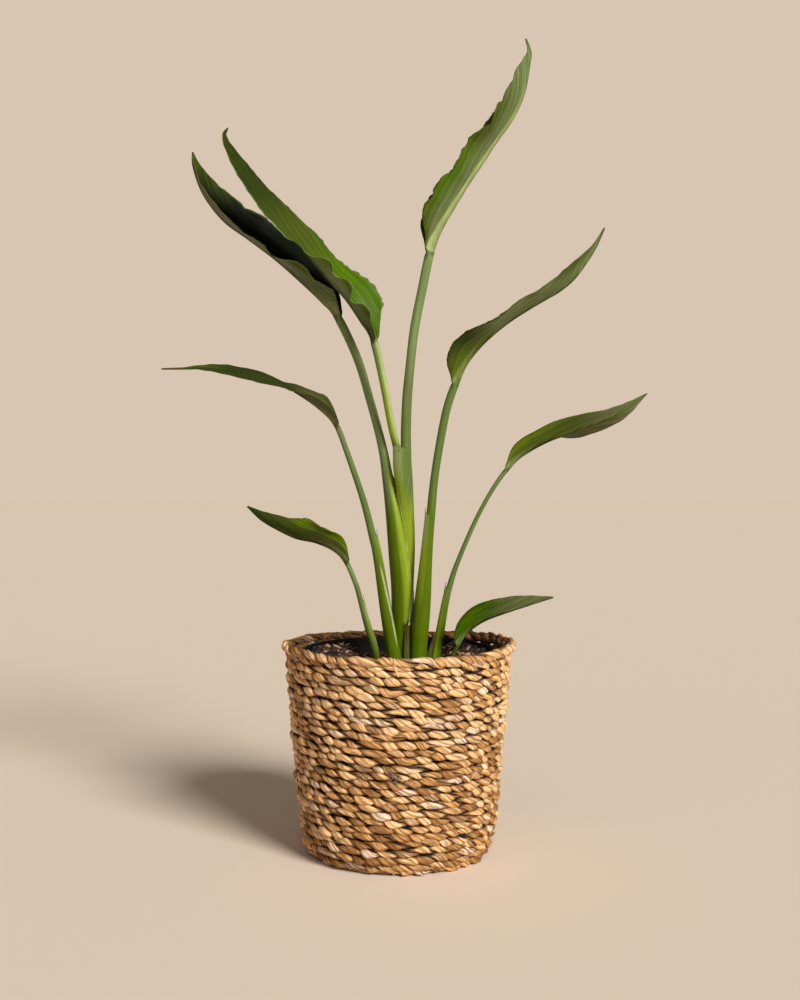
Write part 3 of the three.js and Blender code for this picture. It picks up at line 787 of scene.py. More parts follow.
def new_tree(name, inputs):
    """The nodes of a geometry tree with named inputs, and these inputs by name."""
    tree = bpy.data.node_groups.new(name, "GeometryNodeTree")
    tree.is_modifier = True
    tree.interface.new_socket("Geometry", in_out="OUTPUT", socket_type="NodeSocketGeometry")
    for label, kind in inputs.items():
        socket = tree.interface.new_socket(label, in_out="INPUT", socket_type=KINDS[kind])
        if kind == "length":
            socket.subtype = "DISTANCE"
    nodes = Nodes(tree)
    entry = tree.nodes.new("NodeGroupInput")
    return nodes, {label: Socket(nodes, entry.outputs[label]) for label in inputs}


def end_tree(nodes, geometry, given):
    """Ends a tree in one smooth mesh of one material; returns the tree."""
    whole = nodes.add("GeometryNodeRealizeInstances", None, {"Geometry": geometry})
    rounded = nodes.add("GeometryNodeSetShadeSmooth", None, {
        "Geometry": whole, "Shade Smooth": True})
    painted = nodes.add("GeometryNodeSetMaterial", None, {
        "Geometry": rounded, "Material": given["Material"]})
    nodes.add("NodeGroupOutput", None, {0: painted})
    return nodes.tree


def grow(name, tree, values, surface=None):
    """A plain mesh object from a tree with these inputs, on a surface if one is given."""
    piece = new_object(name, surface or bpy.data.meshes.new(name))
    modifier = piece.modifiers.new("grow", "NODES")
    modifier.node_group = tree
    for item in tree.interface.items_tree:
        if item.in_out == "INPUT" and item.name != "Geometry":
            modifier[item.identifier] = values[item.name]
    settle(piece)
    if not piece.data.polygons:
        raise RuntimeError(f"{name} came out empty")
    return piece


def store(nodes, geometry, name, value, kind="FLOAT"):
    return nodes.add("GeometryNodeStoreNamedAttribute", {"data_type": kind, "domain": "POINT"}, {
        "Geometry": geometry, "Name": name, "Value": value})


def stored(nodes, name, kind="FLOAT"):
    return nodes.add("GeometryNodeInputNamedAttribute", {"data_type": kind}, {"Name": name})


def moved(nodes, geometry, **where):
    return nodes.add("GeometryNodeSetPosition", None, {"Geometry": geometry, **where})


def resampled(nodes, curve, count):
    return nodes.add("GeometryNodeResampleCurve", {"mode": "COUNT"}, {
        "Curve": curve, "Count": count})


def metre_line(nodes, count):
    """A straight line of points, a metre long, to be bent into shape."""
    line = nodes.add("GeometryNodeCurvePrimitiveLine", None, {"Start": (0, 0, 0), "End": (1, 0, 0)})
    return resampled(nodes, line, count)


def circle(nodes, sides, radius):
    return nodes.add("GeometryNodeCurvePrimitiveCircle", {"mode": "RADIUS"}, {
        "Resolution": sides, "Radius": radius})


def tube(nodes, curve, profile, scale):
    return nodes.add("GeometryNodeCurveToMesh", None, {
        "Curve": curve, "Profile Curve": profile, "Scale": scale, "Fill Caps": True})


def spots_on(nodes, given, selection, density):
    """Points strewn over a surface."""
    return nodes.add("GeometryNodeDistributePointsOnFaces", {"distribute_method": "RANDOM"}, {
        "Mesh": given["Geometry"], "Selection": selection, "Density": density,
        "Seed": given["Seed"]})


def drawn(nodes, given, seed, low=0.0, high=1.0):
    """A random number for each point, or three where the limits have three."""
    triple = isinstance(low, tuple)
    kind, first, output = ("FLOAT_VECTOR", 0, 0) if triple else ("FLOAT", 2, 1)
    return nodes.add("FunctionNodeRandomValue", {"data_type": kind}, {
        first: low, first + 1: high, "Seed": given["Seed"] + seed}, output)


def leaf_material(settings):
    """Living leaf: each point's own tone, veins, a pale midrib and dried edges."""
    material, n = new_material("leaf")
    tone = n.attribute("tone", 0)
    place, state = n.attribute("place", 1), n.attribute("state", 1)
    across, travelled, share = (n.part(place, axis) for axis in range(3))
    dryness, rib, under = (n.part(state, axis) for axis in range(3))
    blade = n.span(under, -1.0, 0.0)
    below = n.span(under, 0.0, 1.0)
    away = across.math("ABSOLUTE")
    drift = n.noise(n.combine(away * 0.10, travelled * 0.035, under), 1.0)
    slant = away - travelled * 0.16 + drift * 2.0
    vein = (slant * (TURN * MM / settings.vein_spacing)).math("SINE")
    pleat = ((slant + drift * 3.0) * (TURN / PLEAT_SPACING)).math("SINE")
    sparse = n.span(((slant + drift * 4.0) * (TURN / LINE_SPACING)).math("SINE"), 0.90, 1.0)
    streak = n.noise(n.combine(slant * 1.1, travelled * 0.035, under), 1.0, 3.0, 0.6)
    striation = n.noise(n.combine(across * 2.6, travelled * 0.05, 0.0), 1.0)
    broad = n.noise(n.combine(across * 0.5, travelled * 0.02, 4.0), 1.0, 1.0)
    mottle = n.noise(n.own_place(), 190.0, 3.0, 0.6)
    light = 1 + blade * (vein * 0.17 + pleat * 0.13 + (streak - 0.5) * 1.3)
    stem = (striation - 0.5) * 0.5 + (broad - 0.5) * 0.5
    light = light + (1 - blade) * stem + (mottle - 0.5) * 0.25
    lines = sparse * blade * n.span(share, 0.95, 0.6) * (0.10 + below * 0.14)
    bright = n.vector("MULTIPLY_ADD", tone, (2.3, 2.3, 2.3), (0.04, 0.05, 0.02))
    green = n.mix(lines, n.lit(tone, light), bright)
    midrib = rib * blade * n.span(under, 0.0, 1.0, 0.12, 0.8)
    green = n.mix(midrib, green, shade(settings.pale, 1.3))
    edge = dryness * n.span(streak, 0.25, 0.6, 0.5, 1.0)
    base = n.mix(edge, green, shade(settings.dry))
    rough = 0.46 + (mottle - 0.5) * 0.12 + dryness * 0.25
    living = n.span(n.part(tone, 1), 0.01, 0.09) * (1 - dryness)
    height = blade * (vein * 0.35 + pleat * 0.6) + (1 - blade) * striation * 0.8 + mottle * 0.12
    finish_material(n, {
        "Base Color": base, "Roughness": rough, "Coat Weight": living * (0.14 - blade * 0.02),
        "Normal": n.bump(height, 0.16 * MM, 0.6)},
        {"Specular IOR Level": 0.06, "Coat Roughness": 0.26, "Coat IOR": 1.4})
    return material


# Pale edges of the sheaths where they lie on the stems behind them, leaf_2's also a painted
# highlight: x and z stations in millimetres, half the width, how far it stands out as a share of
# that, and how dry the edge is.
SHEATH_EDGES = {
    "leaf_3_edge": (
        [(-3.9, 238.5), (-2.2, 232.6), (-0.6, 227), (1.6, 216.6), (3.6, 204), (5.4, 193),
         (6.9, 180), (8.2, 165), (8.8, 150), (9, 136)], 0.55, -0.7, 0.1),
    "leaf_3_dry_edge": (
        [(-4.0, 239.6), (-3.0, 236), (-1.9, 231.5), (-0.8, 228.3)], 0.7, -0.3, 1.0),
    # leaf_2's strip is partly its sheath margin and partly a painted highlight down the sheath's
    # lit side.
    "leaf_2_edge_and_highlight": (
        [(-14.4, 198), (-12.9, 187.7), (-10, 174), (-7.3, 161.2), (-4.5, 148.7), (-1.4, 132.1),
         (0.4, 122)], 1.1, -0.75, 0.0),
    "leaf_6_edge": (
        [(13.4, 187), (11.8, 178), (11, 171), (9.3, 163), (8.5, 156), (7.4, 149), (6.5, 143)],
        1.3, 0.4, -0.2),
    "leaf_1_edge": (
        [(-21.2, 158), (-19.6, 151.5), (-17.6, 144.5), (-15.8, 137), (-14, 130.5), (-12.4, 123)],
        0.75, -0.6, 0.0),
}
STRIP_FROM, STRIP_REACH = -0.2, 0.24  # where a strip's search for the surface starts, and how deep


def edge_tree():
    """A slim strip along a line, thin at both ends."""
    n, given = new_tree("sheath edge", {
        "Geometry": "geometry", "Half width": "length", "Material": "material"})
    line = resampled(n, n.add("GeometryNodeMeshToCurve", None, {"Mesh": given["Geometry"]}), 48)
    thick = (n.add("GeometryNodeSplineParameter") * math.pi).math("SINE") ** 0.5
    strip = tube(n, line, circle(n, 8, given["Half width"]), thick * 0.9 + 0.1)
    return end_tree(n, strip, given)


def lay_strip(name, tree, line, half_width, raised, material, skins):
    """Lays a narrow strip along x, z stations on whatever is in front there."""
    points = []
    for share in np.linspace(0, len(line) - 1, 6 * len(line)):
        x, z = station_at(np.array(line, dtype=float), share) * MM
        start = (x, STRIP_FROM, z)
        hits = [skin.ray_cast(start, (0, 1, 0), STRIP_REACH)[0] for skin in skins]
        front = min((hit.y for hit in hits if hit is not None), default=None)
        if front is not None:
            points.append((x, front - raised * half_width, z))
    steps = [(i, i + 1) for i in range(len(points) - 1)]
    values = {"Half width": half_width, "Material": material}
    piece = grow(name, tree, values, new_mesh(name, points, steps, []))
    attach(piece, BODY)


def edge_material(name, fresh, dried, dryness):
    """A papery edge that runs from one colour to the other."""
    material, n = new_material(name)
    own = n.own_place()
    grain = n.noise(own, 600.0, 3.0, 0.6)
    dry = n.span(n.noise(own, 120.0) + dryness, 0.45, 1.1)
    colour = n.lit(n.mix(dry, fresh, dried), 0.7 + grain * 0.6)
    finish_material(n, {"Base Color": colour, "Normal": n.bump(grain, 0.1 * MM, 0.5)},
                    {"Roughness": 0.6, "Specular IOR Level": 0.2})
    return material


class PLANT_OT_leaves(bpy.types.Operator):
    """Grow the eight leaves, the edges of their sheaths and the two dry sheaths"""
    bl_idname = "plant.leaves"
    bl_label = "Grow the leaves"

    def execute(self, context):
        settings = context.scene.plant_leaves
        names = ("fresh", "emerald", "lime", "jade", "middle", "deep", "night", "grey", "silver",
                 "olive", "umber", "pale")
        palette = {name[0].upper(): np.array(getattr(settings, name)) for name in names}
        living = leaf_material(settings)
        skins = []
        for name in LEAVES:
            points, faces, fields = LeafMesh(name, palette).build()
            piece = make_piece(f"{name}_grown", points, faces, living, fields)
            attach(piece, BODY)
            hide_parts(name)
            skins.append(BVHTree.FromPolygons([tuple(p) for p in points], faces))
        tree = edge_tree()
        for name, (line, half_width, raised, dryness) in SHEATH_EDGES.items():
            material = edge_material(name, shade(settings.pale), shade(settings.dry), dryness)
            lay_strip(name, tree, line, half_width * MM, raised, material, skins)
        return {"FINISHED"}


# -------------------------------------------------------------------- basket

# Frayed spots on the rope: degrees round from the front, height and reach in mm, darkness.
FRAYS = (
    (8, 112, 5, 0.25), (21, 92, 5.5, 0.3), (-2, 61, 6.5, 0.95), (-17, 63, 7, 0.7),
    (17, 21, 6, 0.6), (3, 8, 7, 0.5), (62, 84, 7, 0.4), (-66, 96, 6, 0.35), (104, 52, 8, 0.6),
    (148, 101, 7, 0.3), (-118, 40, 8, 0.7), (-160, 88, 7, 0.4))
FRAY_RADIUS = 67 * MM  # how far the frayed spots lie from the basket's middle

# Loose ends of rope tied over the two top rows: x and z stations in mm, half width.
RIM_TIES = {
    "rim_tie": (
        [(-5.2, 132.4), (-4.0, 130.6), (-2.8, 128), (-1.4, 125), (-0.4, 122), (0.4, 119.6)], 0.95),
    "rim_tie_end": ([(-2.4, 131.6), (-2.2, 129), (-1.0, 126.4), (0.6, 124)], 0.6),
}
POINT_SPACING = 1.15 * MM  # from one ring of a strand to the next


def frayed(nodes, place, dark):
    """How near a place is to a frayed spot, or how dark the fraying is there."""
    total = 0.0
    for angle, height, reach, darkness in FRAYS:
        angle = math.radians(angle)
        spot = (FRAY_RADIUS * math.sin(angle), -FRAY_RADIUS * math.cos(angle), height * MM)
        away = nodes.vector("DISTANCE", place, spot, output=1)
        near = nodes.span(away, reach * MM, reach * 0.35 * MM)
        total = (near * (darkness if dark else 1.0)).math("MAXIMUM", total)
    return total


def rope_tree():
    """Two strands twisted round each other along a coil that climbs or spreads."""
    n, given = new_tree("twisted rope coil", {
        "First turn": float, "Last turn": float, "Turns in all": float,
        "Start radius": "length", "Spread": "length", "Lip": "length", "Tuck": "length",
        "Saddle": "length", "Open": float, "Base height": "length",
        "Rise": "length", "Strand": "length", "Twist": "length", "Unevenness": "length",
        "Points": int, "Seed": float, "Material": "material"})
    first, turns = given["First turn"], given["Turns in all"]
    start, spread, seed = given["Start radius"], given["Spread"], given["Seed"]
    share = n.add("GeometryNodeSplineParameter")
    path = metre_line(n, given["Points"])
    path = store(n, path, "turn", first + (given["Last turn"] - first) * share)
    pair = n.add("GeometryNodeDuplicateElements", {"domain": "SPLINE"}, {
        "Geometry": path, "Amount": 2})
    path = store(n, pair, "strand", pair.beside("Duplicate Index"))

    # The middle of the rope, at a place that is counted in turns of the coil.
    turn, strand = stored(n, "turn"), stored(n, "strand")
    angle = (turn + 0.25) * TURN
    level = turn / turns
    top = n.span(turn, turns - 1.3, turns - 0.9)
    radius = start + spread * level ** 0.9 + given["Lip"] * top
    radius = radius - given["Tuck"] * n.span(turn, 1.6, 0.0)
    run = (start * turn + spread * turns * level ** 1.9 * (1 / 1.9)) * TURN
    cosine, sine = angle.math("COSINE"), angle.math("SINE")
    drift, stray = (
        n.noise(n.combine(cosine * size, sine * size, turn * rate + seed), 1.0, output=1)
        for size, rate in ((1.3, 0.23), (3.1, 1.9)))
    aside = n.part(drift, 0) - 0.5 + (n.part(stray, 0) - 0.5) * 0.9
    radius = radius + aside * given["Unevenness"]
    height = given["Base height"] + given["Rise"] * turn.math("MINIMUM", turns - 1)
    lift = (n.part(drift, 1) - 0.5) * 0.9 + (n.part(stray, 1) - 0.5) * 0.7
    height = height + lift * given["Unevenness"] * n.span(turn, 0.0, 1.5)
    height = height + given["Saddle"] * level ** 3 * cosine * cosine
    core = n.combine(radius * cosine, radius * sine, height)

    # Each strand winds round that middle, and bulges and strays a little in every lump.
    thick = given["Strand"]
    slack = n.noise(n.combine(run * 30.0, seed, 0.0), 1.0)
    winding = strand * 0.5 - run / given["Twist"] + slack * 1.6
    swaying, rising = ((winding * TURN).math(wave) for wave in ("COSINE", "SINE"))
    out = n.combine(cosine, sine, 0.0)
    swing = n.vector("ADD", n.vector("SCALE", out, Scale=swaying * 0.70),
                     n.combine(0.0, 0.0, rising * 0.64))
    lump = (winding + 0.5).math("FLOOR")
    size, push_out, push_up = (part - 0.5 for part in n.lump_numbers(lump, strand, seed, 3))
    front = swaying.math("ABSOLUTE") ** 1.1
    outer = swaying.math("MAXIMUM", 0.0)
    bulk = n.noise(n.combine(run * 90.0, strand * 9.0, seed), 1.0, 1.0) - 0.5
    bulk = bulk * 0.4 + (n.part(stray, 2) - 0.5) * 0.5
    ends = n.span(turn, 0.0, 0.06) * n.span(turn, turns, turns - 0.12)
    thickness = thick * (0.80 + front * (0.46 + size * 0.45) + bulk) * (0.25 + ends * 0.75)
    place = n.vector("ADD", core, n.vector("SCALE", swing, Scale=thick * ends))
    nudge = n.vector("ADD", n.vector("SCALE", out, Scale=push_out * 0.5),
                     n.combine(0.0, 0.0, push_up))
    place = n.vector("ADD", place, n.vector("SCALE", nudge, Scale=outer * thick * 1.2))

    for name, value in (("core", core), ("swing", swing), ("outward", out)):
        path = store(n, path, name, value, "FLOAT_VECTOR")
    # Where the rope is open, a strand that lies above or below its middle shows as well.
    bare = (top * 0.62).math("MAXIMUM", n.span(turn, 1.1, 0.9))
    for name, value in (("open", given["Open"].math("MAXIMUM", bare)), ("winding", winding),
                        ("run", run), ("thickness", thickness)):
        path = store(n, path, name, value)
    path = n.add("GeometryNodeSetCurveNormal", {"mode": "FREE"}, {
        "Curve": moved(n, path, Position=place), "Normal": stored(n, "swing", "FLOAT_VECTOR")})
    profile = store(n, circle(n, 12, 1.0), "round", n.add("GeometryNodeSplineParameter"))
    flat = n.vector("MULTIPLY", n.add("GeometryNodeInputPosition"), (0.84, 0.98, 1.0))
    rope = tube(n, path, moved(n, profile, Position=flat), stored(n, "thickness"))

    # How far each point is from the rope's middle, and the folds of the strand's skin.
    middle, facing = stored(n, "core", "FLOAT_VECTOR"), stored(n, "outward", "FLOAT_VECTOR")
    offset = n.vector("SUBTRACT", n.add("GeometryNodeInputPosition"), middle)
    outwards = n.vector("DOT_PRODUCT", offset, facing, output=1)
    upwards = n.part(offset, 2) * stored(n, "open")
    deep = (outwards * outwards + upwards * upwards).math("SQRT") / (thick * 1.7)
    rope = store(n, rope, "deep", deep)
    # inner: 1 on the side of a strand that faces into the basket, where the material paints shade.
    rope = store(n, rope, "inner", n.span(outwards / thick, 0.3, -0.5))
    around = stored(n, "round") * TURN
    lengthwise = stored(n, "run") * 120.0 + stored(n, "strand") * 7.0
    fold = n.noise(n.combine(around.math("COSINE") * 1.5, around.math("SINE") * 1.5, lengthwise),
                   1.0, 2.0, 0.6)
    push = n.vector("SCALE", n.add("GeometryNodeInputNormal"), Scale=(fold - 0.5) * thick * 0.8)
    return end_tree(n, moved(n, rope, Offset=push), given)


def rope_material(settings):
    """Dried sedge: every lump its own shade of straw, with a fine grain, and painted shade in the
    crevices and on the side of each strand that faces into the basket.
    """
    material, n = new_material("rope")
    winding, run, around, deep, strand = (
        n.attribute(name) for name in ("winding", "run", "round", "deep", "strand"))
    lump = (winding + 0.5).math("FLOOR")
    one, two = n.lump_numbers(lump, strand, 3.0, 2)
    own = n.own_place()
    height = n.part(own, 2)
    patch = n.noise(own, 34.0)
    cosine, sine = ((around * TURN).math(wave) for wave in ("COSINE", "SINE"))
    along = n.combine(cosine * 0.9, sine * 0.9, run * 60.0 + lump * 3.7)
    streak = n.span(n.noise(along, 1.5, 3.0, 0.6), 0.28, 0.72)
    fine = n.noise(n.combine(cosine * 5.0, sine * 5.0, run * 110.0), 1.0, 3.0, 0.7)
    # Painted shade: inner makes the strands that face into the basket browner here.
    inner = n.attribute("inner")
    darker = one * 0.8 + (0.5 - patch) * 1.1 + n.span(height, 0.10, 0.02) * 0.3
    darker = darker + (0.5 - streak) * 0.9 + inner * 0.7 + n.span(height, 0.012, 0.002) * 0.3
    colour = n.mix(n.span(darker, 0.05, 0.75), shade(settings.straw), shade(settings.tan))
    colour = n.mix(n.span(darker, 0.55, 1.2), colour, shade(settings.golden_and_shade))
    bleached = n.span(two + (streak - 0.5) * 0.4, 0.84, 1.04)
    colour = n.mix(bleached * 0.75, colour, (0.90, 0.74, 0.58, 1))
    grey = n.span(two - (streak - 0.5) * 0.2, 0.05, 0.0)
    tangle = n.span(n.noise(own, 900.0, 2.0, 0.6), 0.35, 0.6)
    worn = frayed(n, own, True) * (0.45 + tangle * 0.75)
    colour = n.mix((grey * 0.7).math("MAXIMUM", worn), colour, (0.12, 0.08, 0.06, 1))
    # Painted shade: where the rope dips between lumps and rows its colour turns golden brown, then
    # near black.
    depth = deep + (streak - 0.5) * 0.14
    shadowed = n.span(depth, 0.70, 0.46) * 0.85
    colour = n.mix(shadowed, n.lit(colour, 0.44 + fine * 1.32), shade(settings.golden_and_shade))
    colour = n.mix(n.span(depth, 0.44, 0.22), colour, shade(settings.crevice_shade))
    # Painted shade: inner also darkens the side that faces into the basket.
    finish_material(n, {
        "Base Color": n.lit(colour, 1 - inner * 0.4), "Roughness": 0.50 + (fine - 0.5) * 0.3,
        "Normal": n.bump(fine * 0.5 + streak * 0.8, 0.8 * MM)}, {"Specular IOR Level": 0.45})
    return material


class PLANT_OT_basket(bpy.types.Operator):
    """Coil the basket from twisted rope"""
    bl_idname = "plant.basket"
    bl_label = "Coil the basket"

    def execute(self, context):
        settings = context.scene.plant_basket
        tree = rope_tree()
        rows, foot, spread = settings.rows, settings.foot_radius, settings.spread
        shared = {
            "Strand": settings.strand, "Twist": settings.twist, "Seed": 4.0,
            "Material": rope_material(settings)}
        wall = {
            "Turns in all": float(rows), "Start radius": foot, "Spread": spread, "Lip": 1.7 * MM,
            "Tuck": 2.2 * MM, "Saddle": 1.3 * MM, "Open": 0.0, "Base height": 3.0 * MM,
            "Rise": settings.row_height, "Unevenness": settings.unevenness, **shared}
        edges = [0, round(rows * 0.36), round(rows * 0.69), rows]
        bands = []  # three, which keeps each of them light
        for first, last in zip(edges, edges[1:]):
            middle = foot + spread * (first + last) / 2 / rows
            points = int(TURN * middle * (last - first) / POINT_SPACING)
            bands.append(grow(f"rope_rows_{first + 1}_to_{last}", tree, {
                "First turn": float(first), "Last turn": float(last), "Points": points, **wall}))
        turns, hub, middle = 12.2, 2.2 * MM, 30 * MM
        points = int(TURN * middle * turns / POINT_SPACING / 1.3)
        pieces = [*bands, grow("rope_floor", tree, {
            "First turn": 0.0, "Last turn": turns, "Turns in all": turns, "Start radius": hub,
            "Spread": foot - hub, "Lip": 0.0, "Tuck": 0.0, "Saddle": 0.0, "Open": 1.0,
            "Base height": 3.5 * MM, "Rise": 0.0, "Unevenness": 0.3 * MM, "Points": points,
            **shared})]
        fibres, golden_and_shade = fibre_tree(), shade(settings.golden_and_shade)
        loose = grain_material("rope_fibre", golden_and_shade, shade(settings.straw, 0.8), 0.8, 500.0)
        for number, band in enumerate(bands):
            pieces.append(grow(f"rope_fibres_{number + 1}", fibres, {
                "Count": settings.fibres / len(bands), "Area": 0.02, "Length": 3.2 * MM,
                "Thickness": 0.13 * MM, "Lift": 0.3, "Bend": 0.35, "Lowest": 2 * MM, "Reach": 1.0,
                "Tufts": 30.0, "Seed": 31 + number, "Material": loose}, band.data.copy()))
        tie, top = edge_tree(), bands[-1].data
        skin = BVHTree.FromPolygons(
            [vertex.co for vertex in top.vertices], [face.vertices for face in top.polygons])
        for name, (line, half_width) in RIM_TIES.items():
            material = edge_material(name, shade(settings.straw), golden_and_shade, 0.15)
            lay_strip(name, tie, line, half_width * MM, -0.4, material, [skin])
        for piece in pieces:
            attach(piece, BODY)
        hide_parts("basket")
        return {"FINISHED"}


# ---------------------------------------------------------- soil and its pot

def soil_tree():
    """A body of soil: mounded on top, tapered below, closed underneath."""
    n, given = new_tree("pot of soil", {
        "Top radius": "length", "Foot radius": "length", "Level": "length", "Foot height": "length",
        "Heaps": "length", "Mounds": "length", "Grain": "length", "Seed": float,
        "Material": "material"})
    grid = n.add("GeometryNodeMeshGrid", None, {
        "Size X": 1.0, "Size Y": 1.0, "Vertices X": 84, "Vertices Y": 200})
    flat = n.add("GeometryNodeInputPosition")
    share = n.part(flat, 0) + 0.5
    angle = (n.part(flat, 1) + 0.5) * TURN
    top, foot = given["Top radius"], given["Foot radius"]
    out, down, back = (
        n.add("ShaderNodeMapRange", None, {0: share, 1: low, 2: high, 3: start, 4: end})
        for low, high, start, end in ((0.0, 0.86, 0.0, 1.0), (0.86, 0.95, 0.0, 1.0),
                                      (0.95, 1.0, 1.0, 0.0)))
    radius = (top * out * (1 - down) + down * foot) * back
    x, y = radius * angle.math("COSINE"), radius * angle.math("SINE")
    flat_place = n.combine(x, y, given["Seed"])
    wide = n.noise(flat_place, 42.0)
    lumps = n.noise(flat_place, 260.0, 3.0, 0.65)
    sides = n.span(x.math("ABSOLUTE") / top, 0.32, 0.74) * given["Heaps"]
    raised = (wide - 0.5) * given["Mounds"] * 3.0 + (lumps - 0.5) * given["Grain"] * 2.0 + sides
    level = given["Level"]
    height = level + raised * (1 - down) - down * (level - given["Foot height"])
    body = n.add("GeometryNodeMergeByDistance", None, {
        "Geometry": moved(n, grid, Position=n.combine(x, y, height)), "Distance": 0.01 * MM})
    return end_tree(n, body, given)


def scatter_tree():
    """Small lumps scattered over the upper faces of a surface."""
    n, given = new_tree("scattered lumps", {
        "Geometry": "geometry", "Count": float, "Size": "length", "Length": float,
        "Thickness": float, "Sink": "length", "Patches": float, "Reach": "length", "Seed": int,
        "Material": "material"})
    place = n.add("GeometryNodeInputPosition")
    flat, reach = n.vector("MULTIPLY", place, (1, 1, 0)), given["Reach"]
    inside = n.vector("LENGTH", flat, output=1).math("LESS_THAN", reach)
    facing = n.part(n.add("GeometryNodeInputNormal"), 2).math("GREATER_THAN", 0.4)
    edge = given["Patches"] * 0.58
    crowd = n.span(n.noise(place, 55.0, 1.0), edge, edge + 0.06)
    area = reach * reach * math.pi
    spots = spots_on(n, given, inside * facing, given["Count"] / area * crowd)
    lump = n.add("GeometryNodeMeshIcoSphere", None, {"Radius": 1.0, "Subdivisions": 1})
    dent = n.noise(n.add("GeometryNodeInputPosition"), 1.7, 1.0, output=1)
    dent = n.vector("SCALE", n.vector("SUBTRACT", dent, (0.5, 0.5, 0.5)), Scale=1.6)
    size = given["Size"] * (0.35 + drawn(n, given, 5) ** 3 * 1.25)
    lumps = n.add("GeometryNodeInstanceOnPoints", None, {
        "Points": store(n, spots, "shade", drawn(n, given, 11)),
        "Instance": moved(n, lump, Offset=dent),
        "Rotation": drawn(n, given, 7, (-0.7, -0.7, 0.0), (0.7, 0.7, TURN)),
        "Scale": n.combine(size * given["Length"], size, size * given["Thickness"])})
    lumps = n.add("GeometryNodeTranslateInstances", None, {
        "Instances": lumps, "Translation": n.combine(0.0, 0.0, 0.0 - given["Sink"]),
        "Local Space": False})
    return end_tree(n, lumps, given)


def fibre_tree():
    """Thin bent fibres that stand off a surface."""
    n, given = new_tree("loose fibres", {
        "Geometry": "geometry", "Count": float, "Area": float, "Length": "length",
        "Thickness": "length", "Lift": float, "Bend": float, "Lowest": "length",
        "Reach": "length", "Tufts": float, "Seed": int, "Material": "material"})
    place = n.add("GeometryNodeInputPosition")
    facing = n.add("GeometryNodeInputNormal")
    outside = n.vector("DOT_PRODUCT", facing, n.vector("NORMALIZE", place), output=1)
    across = n.vector("LENGTH", n.vector("MULTIPLY", place, (1, 1, 0)), output=1)
    above = n.part(place, 2).math("GREATER_THAN", given["Lowest"])
    ready = above * outside.math("GREATER_THAN", 0.3) * across.math("LESS_THAN", given["Reach"])
    crowd = 1 + frayed(n, place, False) * given["Tufts"]
    spots = spots_on(n, given, ready, given["Count"] / given["Area"] * crowd)
    share = n.add("GeometryNodeSplineParameter")
    arc = (share * 2.6).math("SINE") * given["Bend"]
    bent = moved(n, metre_line(n, 6), Offset=n.combine(0.0, arc, share * share * given["Lift"]))
    fibre = tube(n, bent, circle(n, 3, given["Thickness"] / given["Length"]), 1 - share * 0.7)
    flip = drawn(n, given, 9).math("ROUND") * math.pi
    twirl = n.add("FunctionNodeAxisAngleToRotation", None, {
        "Axis": (0, 0, 1), "Angle": drawn(n, given, 4, -0.6, 0.6) + flip})
    turned = n.add("FunctionNodeRotateRotation", {"rotation_space": "LOCAL"}, {
        "Rotation": spots.beside("Rotation"), "Rotate By": twirl})
    size = given["Length"] * (0.4 + drawn(n, given, 6) ** 2)
    fibres = n.add("GeometryNodeInstanceOnPoints", None, {
        "Points": store(n, spots, "shade", drawn(n, given, 11)), "Instance": fibre,
        "Rotation": turned, "Scale": n.combine(size, size, size)})
    return end_tree(n, fibres, given)


def grain_material(name, base, other, roughness, scale):
    """Loose matter in two tones, each grain with its own mixture."""
    material, n = new_material(name)
    grain = n.noise(n.own_place(), scale, 4.0, 0.7)
    share = n.span(n.attribute("shade") * 0.7 + grain * 0.6, 0.35, 1.0)
    finish_material(n, {
        "Base Color": n.lit(n.mix(share, base, other), 0.55 + grain * 0.9),
        "Roughness": roughness + (grain - 0.5) * 0.2,
        "Normal": n.bump(grain, 0.4 * MM, 0.8)}, {"Specular IOR Level": 0.3})
    return material


def plastic_material(settings):
    """Black moulded plastic with soil dust and fine scuffs along it."""
    material, n = new_material("pot_plastic")
    own = n.own_place()
    dust = n.noise(own, 90.0, 4.0, 0.65)
    scuff = n.noise(n.vector("MULTIPLY", own, (1, 1, 9)), 60.0, 3.0, 0.6)
    dusty = n.span(dust, 0.58, 0.8, 0.0, 0.35)
    finish_material(n, {
        "Base Color": n.mix(dusty, shade(settings.plastic), shade(settings.bark)),
        "Roughness": 0.72 + (scuff - 0.5) * 0.35,
        "Normal": n.bump(scuff * 0.5 + dust * 0.4, 0.2 * MM, 0.6)}, {"Specular IOR Level": 0.12})
    return material


def lathe(profile, around):
    """A closed mesh turned from a closed profile of radii and heights."""
    points = [(r * math.cos(TURN * i / around), r * math.sin(TURN * i / around), z)
              for r, z in profile for i in range(around)]
    return points, ring_faces(len(profile), around, closed=True)


def pot_profile(low, high):
    """The pot's wall from the middle of its floor, out and up, over the rim and back inside."""
    foot, rim, wall = 44 * MM, high[0], 1.4 * MM
    top, ground = high[2] + 1.2 * MM, low[2]
    band = top - 10 * MM
    slope = [(foot + (rim - 2 * MM - foot) * share, ground + (band - ground) * share)
             for share in np.linspace(0, 1, 9)]
    outer = [(0.2 * MM, ground), *slope, (rim - 0.7 * MM, band + 0.6 * MM)]
    ribs = [(rim - 0.35 * (step % 2) * MM, band + (1.2 + 1.1 * step) * MM) for step in range(6)]
    lip = [(rim, top - 1.2 * MM), (rim - 0.2 * MM, top - 0.3 * MM), (rim - 0.7 * MM, top),
           (rim - wall - 0.1 * MM, top), (rim - wall - 0.4 * MM, top - 0.4 * MM)]
    inner = [(rim - wall - 0.5 * MM, top - 3 * MM), (rim - wall - 0.6 * MM, band + 1.5 * MM),
             (rim - wall - 2.1 * MM, band - 0.6 * MM)]
    inside = [(radius - wall, height + wall) for radius, height in slope[-2::-1]]
    return [*outer, *ribs, *lip, *inner, *inside, (0.2 * MM, ground + wall)]


